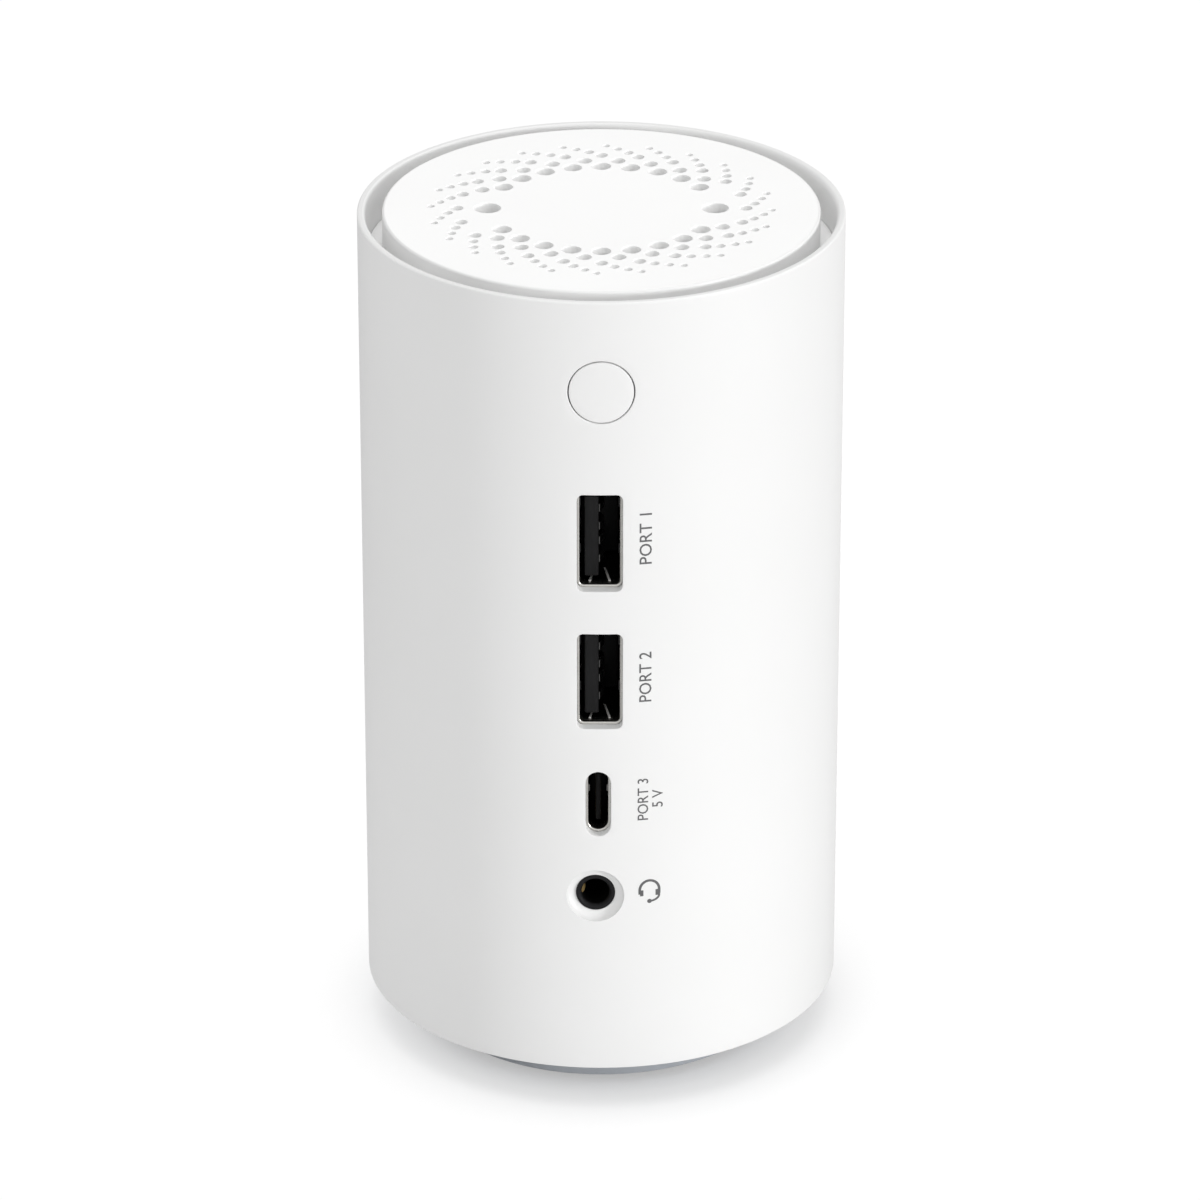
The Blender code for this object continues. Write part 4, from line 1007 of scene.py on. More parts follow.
# %% USB-A cans with spring fingers
USB_A_CORNER = 0.9 * MM
FINGER_SPREAD = 6.4 * MM
FINGER_WIDTH = 1.3 * MM
FINGER_ROOM = 0.4 * MM
FINGER_START = 3.9 * MM
FINGER_LENGTH = 5.6 * MM
FINGER_BEND = 0.42 * MM
FINGER_SHEET = 0.2 * MM
FINGER_STEPS = 14
FINGER_PEAK = 0.3
TAB_START, TAB_END = 1.1 * MM, 5.0 * MM
TAB_NEAR, TAB_FAR = 1.28 * MM, 0.62 * MM
TAB_EDGE = 0.13 * MM
TAB_RISE = 0.14 * MM


def strip_outline(bend, start, length, steps, sheet):
    """Side view of a bent strip of sheet along Y; bend gives x for each share of its length."""
    shares = [step / steps for step in range(steps + 1)]
    face = [(bend(share), start + share * length) for share in shares]
    return face + [(x - sheet, y) for x, y in face[::-1]]


def finger_dip(share):
    """Dip of a spring finger: from its root in the can's wall, in to a bulge and out to its tip."""
    if share > FINGER_PEAK:
        return FINGER_BEND * (0.5 + 0.5 * math.cos(math.pi * (share - FINGER_PEAK) / (1 - FINGER_PEAK)))
    return FINGER_BEND * (1 - 0.5 * (1 - share / FINGER_PEAK) ** 2)


def usb_a_can(name, node_name):
    """USB-A can with two fingers in each of its long walls."""
    shell = bmesh.new()
    spot, mouth, _ = can(shell, node_name, USB_A_CORNER, -1)
    low, high = socket_box(node_name)
    openings = bmesh.new()
    half = FINGER_WIDTH / 2 + FINGER_ROOM
    reach = (high.x - low.x) / 2
    places = [(side, spot.z + end * FINGER_SPREAD / 2) for side in (-1, 1) for end in (-1, 1)]
    for side, z in places:
        x = sorted((spot.x + side * (reach - 2 * SHEET), spot.x + side * (reach + SHEET)))
        y = mouth + FINGER_START
        slab(openings, (x[0], y, z - half), (x[1], y + FINGER_LENGTH, z + half))
    shell = cut_from(shell, openings)
    wall = reach - (SHEET - FINGER_SHEET) / 2
    start = mouth + FINGER_START + FINGER_ROOM
    finger = (start, FINGER_LENGTH, FINGER_STEPS, FINGER_SHEET)
    outline = strip_outline(lambda share: wall - finger_dip(share), *finger)
    for side, z in places:
        ends = (z - FINGER_WIDTH / 2, z + FINGER_WIDTH / 2)
        skin(shell, [[(spot.x + side * x, y, end) for x, y in outline] for end in ends], caps=True)
    finished(name, shell, nickel_sheet, [node_name])
    edges = bmesh.new()
    floor_z = low.z + SHEET
    for side in (-1, 1):
        loops = []
        for y, reach in ((mouth + TAB_START, TAB_NEAR), (mouth + TAB_END, TAB_FAR)):
            x = spot.x + side * reach
            corners = ((-1, 0), (1, 0), (1, 1), (-1, 1))
            loops.append([(x + a * TAB_EDGE, y, floor_z + b * TAB_RISE) for a, b in corners])
        skin(edges, loops, caps=True)
    finished(name + "_tab", edges, cut_edge)


usb_a_can("usb_a_can_upper", "usb_a_upper_shell")
usb_a_can("usb_a_can_lower", "usb_a_lower_shell")

# %% [markdown]
# ## Rows of contacts
#
# Inside a socket the contacts stand in a row on the tongue, each the same strip of sprung metal.
# Copying them by hand would work, but a row is a rule, so a small Geometry Nodes tree sets one strip on
# every point of a line. The same tree makes the fine rows of pads on the USB-C tongues, with another
# count and pitch.

# %% Tree of a row
row_inputs = [("Item", "Object"), ("Count", "Int"), ("First", "Vector"), ("Step", "Vector")]
row_tree, row_given = geometry_tree("contact_row", [*row_inputs, ("Material", "Material")])
line = {"Count": row_given["Count"], "Start Location": row_given["First"], "Offset": row_given["Step"]}
row_points = out_of(row_tree, "GeometryNodeMeshLine", line)
row_item = out_of(row_tree, "GeometryNodeObjectInfo", {"Object": row_given["Item"]}, "Geometry")
give_out(row_tree, on_points(row_tree, row_points, row_item), row_given["Material"])


def contact_row(item, count, first, step, material):
    """Copies of one small bmesh, which is used up, along a line."""
    holder = placed("contact", mesh_of("contact", item))
    values = {"Item": holder, "Count": count, "First": first, "Step": step, "Material": material}
    row = grown(row_tree, values)
    bpy.data.objects.remove(holder)
    return row


def poured(target, source):
    """Adds one bmesh to another."""
    mesh = mesh_of("poured", source)
    target.from_mesh(mesh)
    bpy.data.meshes.remove(mesh)


print("row tree has", len(row_tree.nodes), "nodes")

# %% USB-A tongues and contacts
TONGUE_THICKNESS = 1.84 * MM
TONGUE_WIDTH = 11.1 * MM
TONGUE_GAP = 0.62 * MM
TONGUE_RECESS = 0.9 * MM
MOULD_GAP = 0.2 * MM
USB_A_BLOCK = 4.2 * MM
CONTACT_WIDTH = 1.0 * MM
CONTACT_SHEET = 0.25 * MM
CONTACT_RISE = 0.6 * MM
CONTACT_STEPS = 16
CONTACT_BOW = 0.45
CONTACT_LIFT = 0.1 * MM
CONTACT_SETBACK = 1.0 * MM
BLOCK_EDGE = (0.15 * MM, 0.5 * MM)
TONGUE_EDGE = (0.3 * MM, 0.25 * MM)
OUTER_PITCH = 7.0 * MM
INNER_PITCH = 2.0 * MM


def contact_strip(face, tip, root):
    """One sprung contact on a tongue: flat at its root, with a bow near the tongue's tip."""
    def bend(share):
        """Place of the contact's face, bowed over the first part of its length."""
        bow = math.sin(math.pi * min(share / CONTACT_BOW, 1.0)) ** 2
        return face + CONTACT_LIFT + CONTACT_RISE * bow

    outline = strip_outline(bend, tip, root - tip, CONTACT_STEPS, CONTACT_SHEET)
    strip = bmesh.new()
    ends = (-CONTACT_WIDTH / 2, CONTACT_WIDTH / 2)
    skin(strip, [[(x, y, z) for x, y in outline] for z in ends], caps=True)
    return strip


def usb_a_tongue(name, node_name, can_name):
    """Black moulding of a USB-A socket: block, tongue and four contacts."""
    low, high = socket_box(can_name)
    spot = (low + high) / 2
    room = 2 * (SHEET + MOULD_GAP)
    sizes = (high.x - low.x - room, high.z - low.z - room)
    moulding = bmesh.new()
    bar(moulding, (spot.x, spot.z), sizes, (high.y - USB_A_BLOCK, high.y), *BLOCK_EDGE)
    left = low.x + SHEET + TONGUE_GAP
    tip = low.y + TONGUE_RECESS
    centre = (left + TONGUE_THICKNESS / 2, spot.z)
    ends = (tip, high.y - USB_A_BLOCK / 2)
    bar(moulding, centre, (TONGUE_THICKNESS, TONGUE_WIDTH), ends, *TONGUE_EDGE)
    finished(name, moulding, dark_tongue, [node_name])

    face = left + TONGUE_THICKNESS
    # The contacts take the darkened tin, which is painted shade for the depth of the socket.
    contacts = bmesh.new()
    for pitch in (OUTER_PITCH, INNER_PITCH):
        strip = contact_strip(face, tip + CONTACT_SETBACK, high.y - USB_A_BLOCK)
        first = (0.0, 0.0, spot.z - pitch / 2)
        poured(contacts, contact_row(strip, 2, first, (0.0, 0.0, pitch), contact_tin))
    finished(name + "_contacts", contacts, contact_tin)


usb_a_tongue("usb_a_tongue_upper", "usb_a_upper_tongue", "usb_a_upper_shell")
usb_a_tongue("usb_a_tongue_lower", "usb_a_lower_tongue", "usb_a_lower_shell")

# %% [markdown]
# ## USB-C sockets
#
# The USB-C socket on the front and its twin at the back, which goes to the computer, are drawn cans
# with round ends. A thin tongue stands in the middle, with twelve flat pads on each face. We build one
# function and call it twice, because the two sockets differ only in the way they face.

# %% USB-C sockets
C_TONGUE = (0.7 * MM, 6.7 * MM)
C_TONGUE_RECESS = 1.0 * MM
C_TONGUE_EDGE = (0.18 * MM, 0.2 * MM)
C_BLOCK = 1.8 * MM
C_BLOCK_EASE = 0.1 * MM
PAD_COUNT = 12
PAD_PITCH = 0.5 * MM
PAD_SIZE = (0.03 * MM, 3.6 * MM, 0.26 * MM)
PAD_EDGE = (0.01 * MM, 0.01 * MM)
PAD_SETBACK = 0.6 * MM
GRIP_SIZE = (0.5 * MM, 1.2 * MM, 1.1 * MM)
GRIP_EDGE = (0.2 * MM, 0.2 * MM)
GRIP_HEIGHT = 0.9 * MM
GRIP_DEPTH = 2.2 * MM


def usb_c_socket(name, node_name, tongue_name, facing):
    """USB-C can, its moulding with the tongue and the foot on the board, and its pads."""
    shell = bmesh.new()
    spot, mouth, back = can(shell, node_name, None, facing)
    low, high = socket_box(node_name)
    for side in (-1, 1):
        x = spot.x + side * ((high.x - low.x) / 2 - SHEET)
        y = mouth - facing * GRIP_DEPTH
        ends = (y - GRIP_SIZE[1] / 2, y + GRIP_SIZE[1] / 2)
        bar(shell, (x, spot.z + GRIP_HEIGHT), (GRIP_SIZE[0], GRIP_SIZE[2]), ends, *GRIP_EDGE)
    finished(name + "_can", shell, nickel_sheet, [node_name])

    moulding = bmesh.new()
    room = 2 * (SHEET + MOULD_GAP)
    sizes = (high.x - low.x - room, high.z - low.z - room)
    foot_low, foot_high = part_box(tongue_name)
    foot_end = foot_high.y if facing < 0 else foot_low.y
    foot_start = back - facing * MOULD_GAP
    ends = ((foot_end + foot_start) / 2, back + facing * C_BLOCK)
    bar(moulding, (spot.x, spot.z), sizes, ends, C_BLOCK_EASE, sizes[0] / 2)
    slab_low = (foot_low.x, min(foot_end, foot_start), foot_low.z)
    slab(moulding, slab_low, (foot_high.x, max(foot_end, foot_start), foot_high.z))
    tip = mouth - facing * C_TONGUE_RECESS
    bar(moulding, (spot.x, spot.z), C_TONGUE, (back + facing * C_BLOCK / 2, tip), *C_TONGUE_EDGE)
    finished(name + "_tongue", moulding, black_moulding, [tongue_name])

    # The pads take the darkened gilt, which is painted shade for the depth of the can.
    pads = bmesh.new()
    middle_y = tip - facing * (PAD_SETBACK + PAD_SIZE[1] / 2)
    for side in (-1, 1):
        pad = bmesh.new()
        ends = (-PAD_SIZE[1] / 2, PAD_SIZE[1] / 2)
        bar(pad, (0.0, 0.0), (PAD_SIZE[0], PAD_SIZE[2]), ends, *PAD_EDGE)
        first = (spot.x + side * C_TONGUE[0] / 2, middle_y, spot.z - PAD_PITCH * (PAD_COUNT - 1) / 2)
        poured(pads, contact_row(pad, PAD_COUNT, first, (0.0, 0.0, PAD_PITCH), worn_gilt))
    finished(name + "_pads", pads, worn_gilt)


usb_c_socket("usb_c_front", "usb_c_front_shell", "usb_c_front_tongue", -1)
usb_c_socket("usb_c_host", "host_port_shell", "host_port_tongue", 1)

# %% [markdown]
# ## Headset jack and power inlet
#
# The headset jack is a black barrel whose round nose fills the floor of the dish, with a gilt spring in
# its side. The power inlet at the back is a wider barrel with a pin. Both are cups turned about the
# line that a plug goes in along, set in a block that stands on the board. The block is cut open for the
# cup, so that nothing bars the plug's way. The jack's nose stands half a millimetre further out than
# the frame's, where the picture has it.

# %% Barrels
BARREL_POINTS = 64
BARREL_EASE = 0.1 * MM
CHAMFER_SLOPE = 0.75
DRILL_OVER = 1 * MM


def barrel(build, centre, mouth, inward, outside, bore, depth, length, chamfer):
    """Cup turned about Y, with a chamfered mouth; inward is 1 towards +Y and -1 towards -Y."""
    profile = [(0.0, depth), (bore, depth), (bore, chamfer), (bore + CHAMFER_SLOPE * chamfer, 0.0)]
    profile += [(outside, 0.0), (outside, length), (0.0, length)]
    points = eased(profile, BARREL_EASE, 3, closed=False)
    lathe(build, "Y", centre, [(radius, mouth + inward * y) for radius, y in points], BARREL_POINTS)


def block_round(build, low, high, centre, radius):
    """Block with a round hole along Y for a barrel."""
    block = bmesh.new()
    slab(block, low, high)
    drill = bmesh.new()
    ends = (low[1] - DRILL_OVER, high[1] + DRILL_OVER)
    lathe(drill, "Y", centre, [(radius, y) for y in ends], BARREL_POINTS, caps=True)
    poured(build, cut_from(block, drill))


print("barrel helpers ready")

# %% Headset jack
JACK_NOSE = 2.5 * MM
JACK_NOSE_LENGTH = 1.8 * MM
JACK_BORE = 1.8 * MM
JACK_BORE_DEPTH = 11 * MM
JACK_CHAMFER = 0.4 * MM
NOSE_PROUD = 0.5 * MM
BARREL_OVERLAP = 0.04 * MM

jack_low, jack_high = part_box("audio_jack_body")
jack_centre = (JACK_X, (jack_low.z + jack_high.z) / 2)
jack = bmesh.new()
nose = jack_low.y - NOSE_PROUD
bore_depth = JACK_BORE_DEPTH + NOSE_PROUD
barrel(jack, jack_centre, nose, 1, JACK_NOSE, JACK_BORE, bore_depth, jack_high.y - nose, JACK_CHAMFER)
jack_block = (jack_low.x, jack_low.y + JACK_NOSE_LENGTH, jack_low.z)
block_round(jack, jack_block, jack_high, jack_centre, JACK_NOSE - BARREL_OVERLAP)
finished("jack_barrel", jack, black_moulding, ["audio_jack_body"])

# %% Spring of the jack
SPRING_WIDTH = 1.3 * MM
SPRING_SHEET = 0.2 * MM
SPRING_TIP = 0.55 * MM
SPRING_REACH = 0.5 * MM
SPRING_STEPS = 14
SPRING_BOW = 0.55
SPRING_LIFT = 0.02 * MM

spring_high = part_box("audio_jack_spring")[1]
spring_tip = jack_low.y + SPRING_TIP


def leaf_bend(share):
    """Place of the leaf's face, bowed into the bore."""
    bow = math.sin(math.pi * min(share / SPRING_BOW, 1.0))
    return JACK_X - JACK_BORE + SPRING_REACH * bow + SPRING_LIFT


leaf = strip_outline(leaf_bend, spring_tip, spring_high.y - spring_tip, SPRING_STEPS, SPRING_SHEET)
ends = (jack_centre[1] - SPRING_WIDTH / 2, jack_centre[1] + SPRING_WIDTH / 2)
spring = bmesh.new()
skin(spring, [[(x, y, z) for x, y in leaf] for z in ends], caps=True)
finished("jack_spring", spring, gilt_spring, ["audio_jack_spring"])

# %% Power inlet
INLET_BORE = 3.0 * MM
INLET_BORE_DEPTH = 9.5 * MM
INLET_COLLAR = 3.6 * MM
INLET_CHAMFER = 0.25 * MM
PIN_POINTS = 32
PIN_TIP = ((0.0, 0.0), (0.55, 0.0), (0.9, 0.25 * MM), (1.0, 0.6 * MM))

inlet_low, inlet_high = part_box("power_inlet_body")
pin_low, pin_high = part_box("power_inlet_pin")
inlet_spot = (inlet_low + inlet_high) / 2
inlet_centre = (inlet_spot.x, inlet_spot.z)
inlet_length = inlet_high.y - inlet_low.y
inlet = bmesh.new()
inlet_sizes = (INLET_COLLAR, INLET_BORE, INLET_BORE_DEPTH, inlet_length, INLET_CHAMFER)
barrel(inlet, inlet_centre, inlet_high.y, -1, *inlet_sizes)
block_round(inlet, inlet_low, inlet_high, inlet_centre, INLET_COLLAR - BARREL_OVERLAP)
finished("inlet_barrel", inlet, black_moulding, ["power_inlet_body"])

pin_radius = (pin_high.x - pin_low.x) / 2
tip = [(share * pin_radius, pin_high.y - depth) for share, depth in PIN_TIP]
tip += [(pin_radius, pin_low.y), (0.0, pin_low.y)]
pin = bmesh.new()
lathe(pin, "Y", inlet_centre, tip, PIN_POINTS)
finished("inlet_pin", pin, nickel_sheet, ["power_inlet_pin"])

# %% [markdown]
# ## Foot and base
#
# A grey plate closes the tube from below and carries a drum, and the hub stands on a rubber ring in a
# groove of that drum. Only a sliver shows in the picture, but the part is seen from below too. The base
# is turned from one profile, then four screw holes are cut with a Boolean, which is safe here because
# the cut face is flat.

# %% Base
FOOT_RADIUS = 23.6 * MM
CUP_RADIUS = 21.4 * MM
PAD_OUTER = 22.2 * MM
PAD_INNER = 16.7 * MM
GROOVE_GAP = 0.2 * MM
GROOVE_TOP = 1.8 * MM
CUP_FLOOR = 3.0 * MM
HEAD_ROOM = 2.15 * MM
SHANK_ROOM = 1.25 * MM
HEAD_HEIGHT = 1.2 * MM
PLATE_THICKNESS = 2.4 * MM
BASE_EASE, RUBBER_EASE = 0.3 * MM, 0.35 * MM
SCREW_POINTS = 32

base_low, base_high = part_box("base")
plate_low = base_high.z - PLATE_THICKNESS
plate_radius = base_high.x
groove_inner, groove_outer = PAD_INNER - GROOVE_GAP, PAD_OUTER + GROOVE_GAP
outline = [(0.0, base_low.z), (groove_inner, base_low.z), (groove_inner, GROOVE_TOP)]
outline += [(groove_outer, GROOVE_TOP), (groove_outer, base_low.z), (FOOT_RADIUS, base_low.z)]
outline += [(FOOT_RADIUS, plate_low), (plate_radius, plate_low), (plate_radius, base_high.z)]
outline += [(CUP_RADIUS, base_high.z), (CUP_RADIUS, CUP_FLOOR), (0.0, CUP_FLOOR)]
foot = bmesh.new()
lathe(foot, "Z", (0, 0), eased(outline, BASE_EASE, 3, closed=False), ROUND_POINTS)
drills = bmesh.new()
for angle in CORNER_ANGLES:
    centre = (BOSS_CIRCLE * math.cos(angle), BOSS_CIRCLE * math.sin(angle))
    seat = plate_low + HEAD_HEIGHT
    steps = [(HEAD_ROOM, plate_low - DRILL_OVER), (HEAD_ROOM, seat)]
    steps += [(SHANK_ROOM, seat), (SHANK_ROOM, base_high.z + DRILL_OVER)]
    lathe(drills, "Z", centre, steps, SCREW_POINTS, caps=True)
finished("base_plate", cut_from(foot, drills), grey_foot, ["base"])

pad_low, pad_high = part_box("foot_ring")
pad = bmesh.new()
section = [(PAD_INNER, pad_low.z), (PAD_OUTER, pad_low.z), (PAD_OUTER, pad_high.z), (PAD_INNER, pad_high.z)]
turned_ring(pad, section, ROUND_POINTS, RUBBER_EASE)
finished("rubber_ring", pad, foot_rubber, ["foot_ring"])

# %% [markdown]
# ## Base screws
#
# Four pan-head screws hold the base to the bosses in the tube. Each could be modelled in its place, but
# they are one screw on a circle, so a Geometry Nodes tree copies it round. The cross recess is cut
# once, in the one screw.

# %% One screw
HEAD_RADIUS = 1.9 * MM
HEAD_DOME = ((0.0, 0.0), (0.55, 0.05), (0.82, 0.22), (1.0, 0.55), (1.0, 1.0))
SHANK_RADIUS = 1.0 * MM
RECESS_REACH = 1.05 * MM
RECESS_HALF = 0.22 * MM
RECESS_ENDS = ((1.1, -0.1 * MM), (0.55, 0.75 * MM))

screw_low, screw_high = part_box("base_screw_1")
shank_end = screw_high.z - screw_low.z
dome = [(across * HEAD_RADIUS, up * HEAD_HEIGHT) for across, up in HEAD_DOME]
dome += [(SHANK_RADIUS, HEAD_HEIGHT), (SHANK_RADIUS, shank_end - SHANK_RADIUS), (0.0, shank_end)]
screw = bmesh.new()
lathe(screw, "Z", (0, 0), dome, SCREW_POINTS)
cross = []
for start in range(4):
    quarter = Matrix.Rotation(math.radians(90 * start), 2)
    corners = ((RECESS_REACH, -RECESS_HALF), (RECESS_REACH, RECESS_HALF), (RECESS_HALF, RECESS_HALF))
    cross += [quarter @ Vector(corner) for corner in corners]
recess = bmesh.new()
skin(recess, [[(*(scale * point), z) for point in cross] for scale, z in RECESS_ENDS], caps=True)
screw = cut_from(screw, recess)
print("screw:", len(screw.faces), "faces")

# %% Screws on their circle
circle_inputs = [("Item", "Object"), ("Count", "Int"), ("Circle", "Float")]
circle_inputs += [("Turn", "Float"), ("Height", "Float"), ("Material", "Material")]
circle_tree, circle_given = geometry_tree("screw_circle", circle_inputs)
sizes = {"Vertices": circle_given["Count"], "Radius": circle_given["Circle"]}
spots = out_of(circle_tree, "GeometryNodeMeshCircle", sizes, "Mesh", fill_type="NONE")
spots = moved(circle_tree, spots, Translation=circle_given["Height"], Rotation=circle_given["Turn"])
item = out_of(circle_tree, "GeometryNodeObjectInfo", {"Object": circle_given["Item"]}, "Geometry")
give_out(circle_tree, on_points(circle_tree, spots, item), circle_given["Material"])

one_screw = placed("one_screw", mesh_of("one_screw", screw))
values = {"Item": one_screw, "Count": 4, "Circle": BOSS_CIRCLE, "Turn": math.radians(45)}
values.update({"Height": screw_low.z, "Material": plain_steel})
screws = grown(circle_tree, values)
bpy.data.objects.remove(one_screw)
screw_names = [f"base_screw_{number}" for number in range(1, 5)]
finished("base_screws", screws, plain_steel, screw_names)

# %% [markdown]
# ## Printed marks
#
# Small grey marks stand to the right of the sockets: port numbers that read upwards, and a plain
# headset sign. They are printed on the tube, so each is a film a few hundredths of a millimetre thick
# that follows the curve. Text could be shrink-wrapped, but bending its points round the tube with a
# formula keeps the letters crisp.

# %% Ink and wrapping
INK_PROUD = 0.015 * MM
INK_SUNK = 0.03 * MM
LETTER_WEIGHT = 0.003
ink_colours = ((0.135, 0.135, 0.138), (0.115, 0.115, 0.118))
printed_grey = finish("printed_grey", moulded_grain, *ink_colours, (400, 6000), (0.42, 0.55), 0.1)


def wrapped(build, arc_middle, z_middle, turned):
    """Bends a flat print about the tube; turned print reads upwards."""
    for point in build.verts:
        across, up = (-point.co.y, point.co.x) if turned else (point.co.x, point.co.y)
        angle = (arc_middle + across) / tube_radius
        radius = tube_radius + point.co.z
        point.co = (radius * math.sin(angle), -radius * math.cos(angle), z_middle + up)


def words(text, height, length):
    """Text as a thin solid about (0, 0), with this cap height and length."""
    curve = bpy.data.curves.new("words", "FONT")
    curve.body = text
    curve.size = 1.0
    curve.offset = LETTER_WEIGHT
    curve.resolution_u = 3
    curve.extrude = 0.5
    build = evaluated(placed("words", curve))
    across = [point.co.x for point in build.verts]
    up = [point.co.y for point in build.verts]
    for point in build.verts:
        point.co.x = (point.co.x - (min(across) + max(across)) / 2) * length / (max(across) - min(across))
        point.co.y = (point.co.y - (min(up) + max(up)) / 2) * height / (max(up) - min(up))
        point.co.z = INK_PROUD if point.co.z > 0 else -INK_SUNK
    return build


print("ink:", printed_grey.name)

# %% Port numbers
MARK_RISE = 0.42 * MM
USB_A_ARC = 5.62 * MM
USB_C_ARCS = (5.35 * MM, 7.27 * MM)
marks = bmesh.new()
for text, node_name, arc_middle, height, length in (
    ("PORT 1", "usb_a_upper_shell", USB_A_ARC, 1.6 * MM, 7.0 * MM),
    ("PORT 2", "usb_a_lower_shell", USB_A_ARC, 1.6 * MM, 7.0 * MM),
    ("PORT 3", "usb_c_front_shell", USB_C_ARCS[0], 1.4 * MM, 5.9 * MM),
    ("5 V", "usb_c_front_shell", USB_C_ARCS[1], 1.4 * MM, 2.5 * MM),
):
    print_film = words(text, height, length)
    wrapped(print_film, arc_middle, middle(node_name).z + MARK_RISE, True)
    poured(marks, print_film)
finished("port_marks", marks, printed_grey)

# %% Headset sign
SIGN_STROKE = 0.34 * MM
SIGN_WIDTH = 2.9 * MM
SIGN_ARC = 6.25 * MM
SIGN_STEPS = 20
SIGN_DROP = 0.05 * MM
ARCH_LOW, ARCH_HIGH, ARCH_MIDDLE = -0.35 * MM, 0.2 * MM, 0.25 * MM
ARCH_RISE = 1.05
EAR_HIGH, EAR_LOW = 0.22 * MM, -0.62 * MM
EAR_INSET, EAR_STROKE = 0.26 * MM, 0.44 * MM
BOOM_HIGH, BOOM_MIDDLE, BOOM_DROP = -0.3 * MM, -0.55 * MM, 0.85 * MM
BOOM_STROKE = 0.8 * SIGN_STROKE
DOT_HEIGHT, DOT_RADIUS = -1.4 * MM, 0.3 * MM


def stroke(build, path, width):
    """Flat pen stroke along a path, as a thin solid."""
    loops = []
    for index, point in enumerate(path):
        before, after = path[max(index - 1, 0)], path[min(index + 1, len(path) - 1)]
        along = (Vector(after) - Vector(before)).normalized()
        aside = Vector((-along.y, along.x)) * width / 2
        left, right = Vector(point) + aside, Vector(point) - aside
        loops.append([(*left, INK_PROUD), (*right, INK_PROUD), (*right, -INK_SUNK), (*left, -INK_SUNK)])
    skin(build, loops, caps=True)


half = (SIGN_WIDTH - SIGN_STROKE) / 2
sign = bmesh.new()
arch = [(-half, ARCH_LOW), (-half, ARCH_HIGH)]
for step in range(SIGN_STEPS + 1):
    angle = math.pi * (1 - step / SIGN_STEPS)
    arch.append((half * math.cos(angle), ARCH_MIDDLE + ARCH_RISE * half * math.sin(angle)))
arch += [(half, ARCH_HIGH), (half, ARCH_LOW)]
stroke(sign, arch, SIGN_STROKE)
for side in (-1, 1):
    x = side * (half - EAR_INSET)
    stroke(sign, [(x, EAR_HIGH), (x, EAR_LOW)], EAR_STROKE)
boom = [(half, BOOM_HIGH)]
for step in range(SIGN_STEPS // 2 + 1):
    angle = -0.5 * math.pi * step / (SIGN_STEPS // 2)
    boom.append((half * math.cos(angle), BOOM_MIDDLE + BOOM_DROP * math.sin(angle)))
stroke(sign, boom, BOOM_STROKE)
dot = round_loop("Z", (0.0, DOT_HEIGHT), DOT_RADIUS, 0.0, SIGN_STEPS)
skin(sign, [[(x, y, z) for x, y, _ in dot] for z in (INK_PROUD, -INK_SUNK)], caps=True)
wrapped(sign, SIGN_ARC, jack_centre[1] + MARK_RISE - SIGN_DROP, False)
finished("headset_sign", sign, printed_grey)

# %% [markdown]
# ## Parts that stay as they are
#
# The board, its chips, the ballast and the inner screws are hidden in the tube, and their plain shapes
# are right as they are. They keep the frame's own meshes, and each only gets the finish of its
# material.

# %% Finishes of the inner parts
INNER_FINISHES = {
    "black_plastic": black_moulding,
    "steel": plain_steel,
    "aluminium": satin_aluminium,
    "board_green": solder_mask,
    "pad_grey": thermal_gum,
    "ferrite": pressed_ferrite,
}
slot_of = {part["node"]: part["material_slot"] for part in frame["record"]["subparts"]}
kept = [name for name, node in frame["nodes"].items() if not node.hide_render]
for name in kept:
    node = frame["nodes"][name]
    if not node.material_slots:
        node.data.materials.append(None)
    for place in node.material_slots:
        place.material = INNER_FINISHES[slot_of[name]]
print("kept as they are:", ", ".join(kept))

# %% [markdown]
# ## Floor, light and camera
#
# The picture is a plain studio shot on white. The key light comes low from the right front, and a
# surround that is bright overhead and dim at the sides fills the rest, so the left of the tube falls
# into soft grey. Area lamps would make the floor darker far away, so wide suns are used, which light
# everything evenly. Light in the vent holes has to come at a slant, and on the channel's floor from
# straight above, so these two lamps light one piece each, and the floor has a lamp of its own.
#
# To the camera the floor turns white with distance, and the surround behind it is white. A white edge
# is lost on white, so the floor gives back little light from the back right, as if a photographer had
# laid a dark card there. Shiny parts see a floor and a surround that grow brighter to the right.

# %% Floor
FLOOR_SIZE = 3.0
GLOW_REACH = 60 * MM
FLOOR_GLOW = ((0.4, 0.4), (0.455, 0.54), (0.57, 0.58), (1.0, 0.92))
FLOOR_BOUNCE, CARD_BOUNCE = 0.72, 0.04
CARD_TOWARD = (0.71, 0.71, 0.0)
GLEAM_REACH = 120 * MM
FLOOR_GLEAM = (0.5, 0.9)
PLAIN_WHITE = (1, 1, 1, 1)
floor_mesh = bpy.data.meshes.new("floor")
corners = [(FLOOR_SIZE * x, FLOOR_SIZE * y, 0.0) for x, y in ((-1, -1), (1, -1), (1, 1), (-1, 1))]
floor_mesh.from_pydata(corners, [], [(0, 1, 2, 3)])
floor = placed("floor", floor_mesh)
floor_colours = ((0.97, 0.97, 0.97), (0.965, 0.965, 0.965))
pale_floor = finish("pale_floor", moulded_grain, *floor_colours, (8, 900), (0.85, 0.95), 0.02)
floor_mesh.materials.append(pale_floor)
print("floor of", 2 * FLOOR_SIZE, "m")

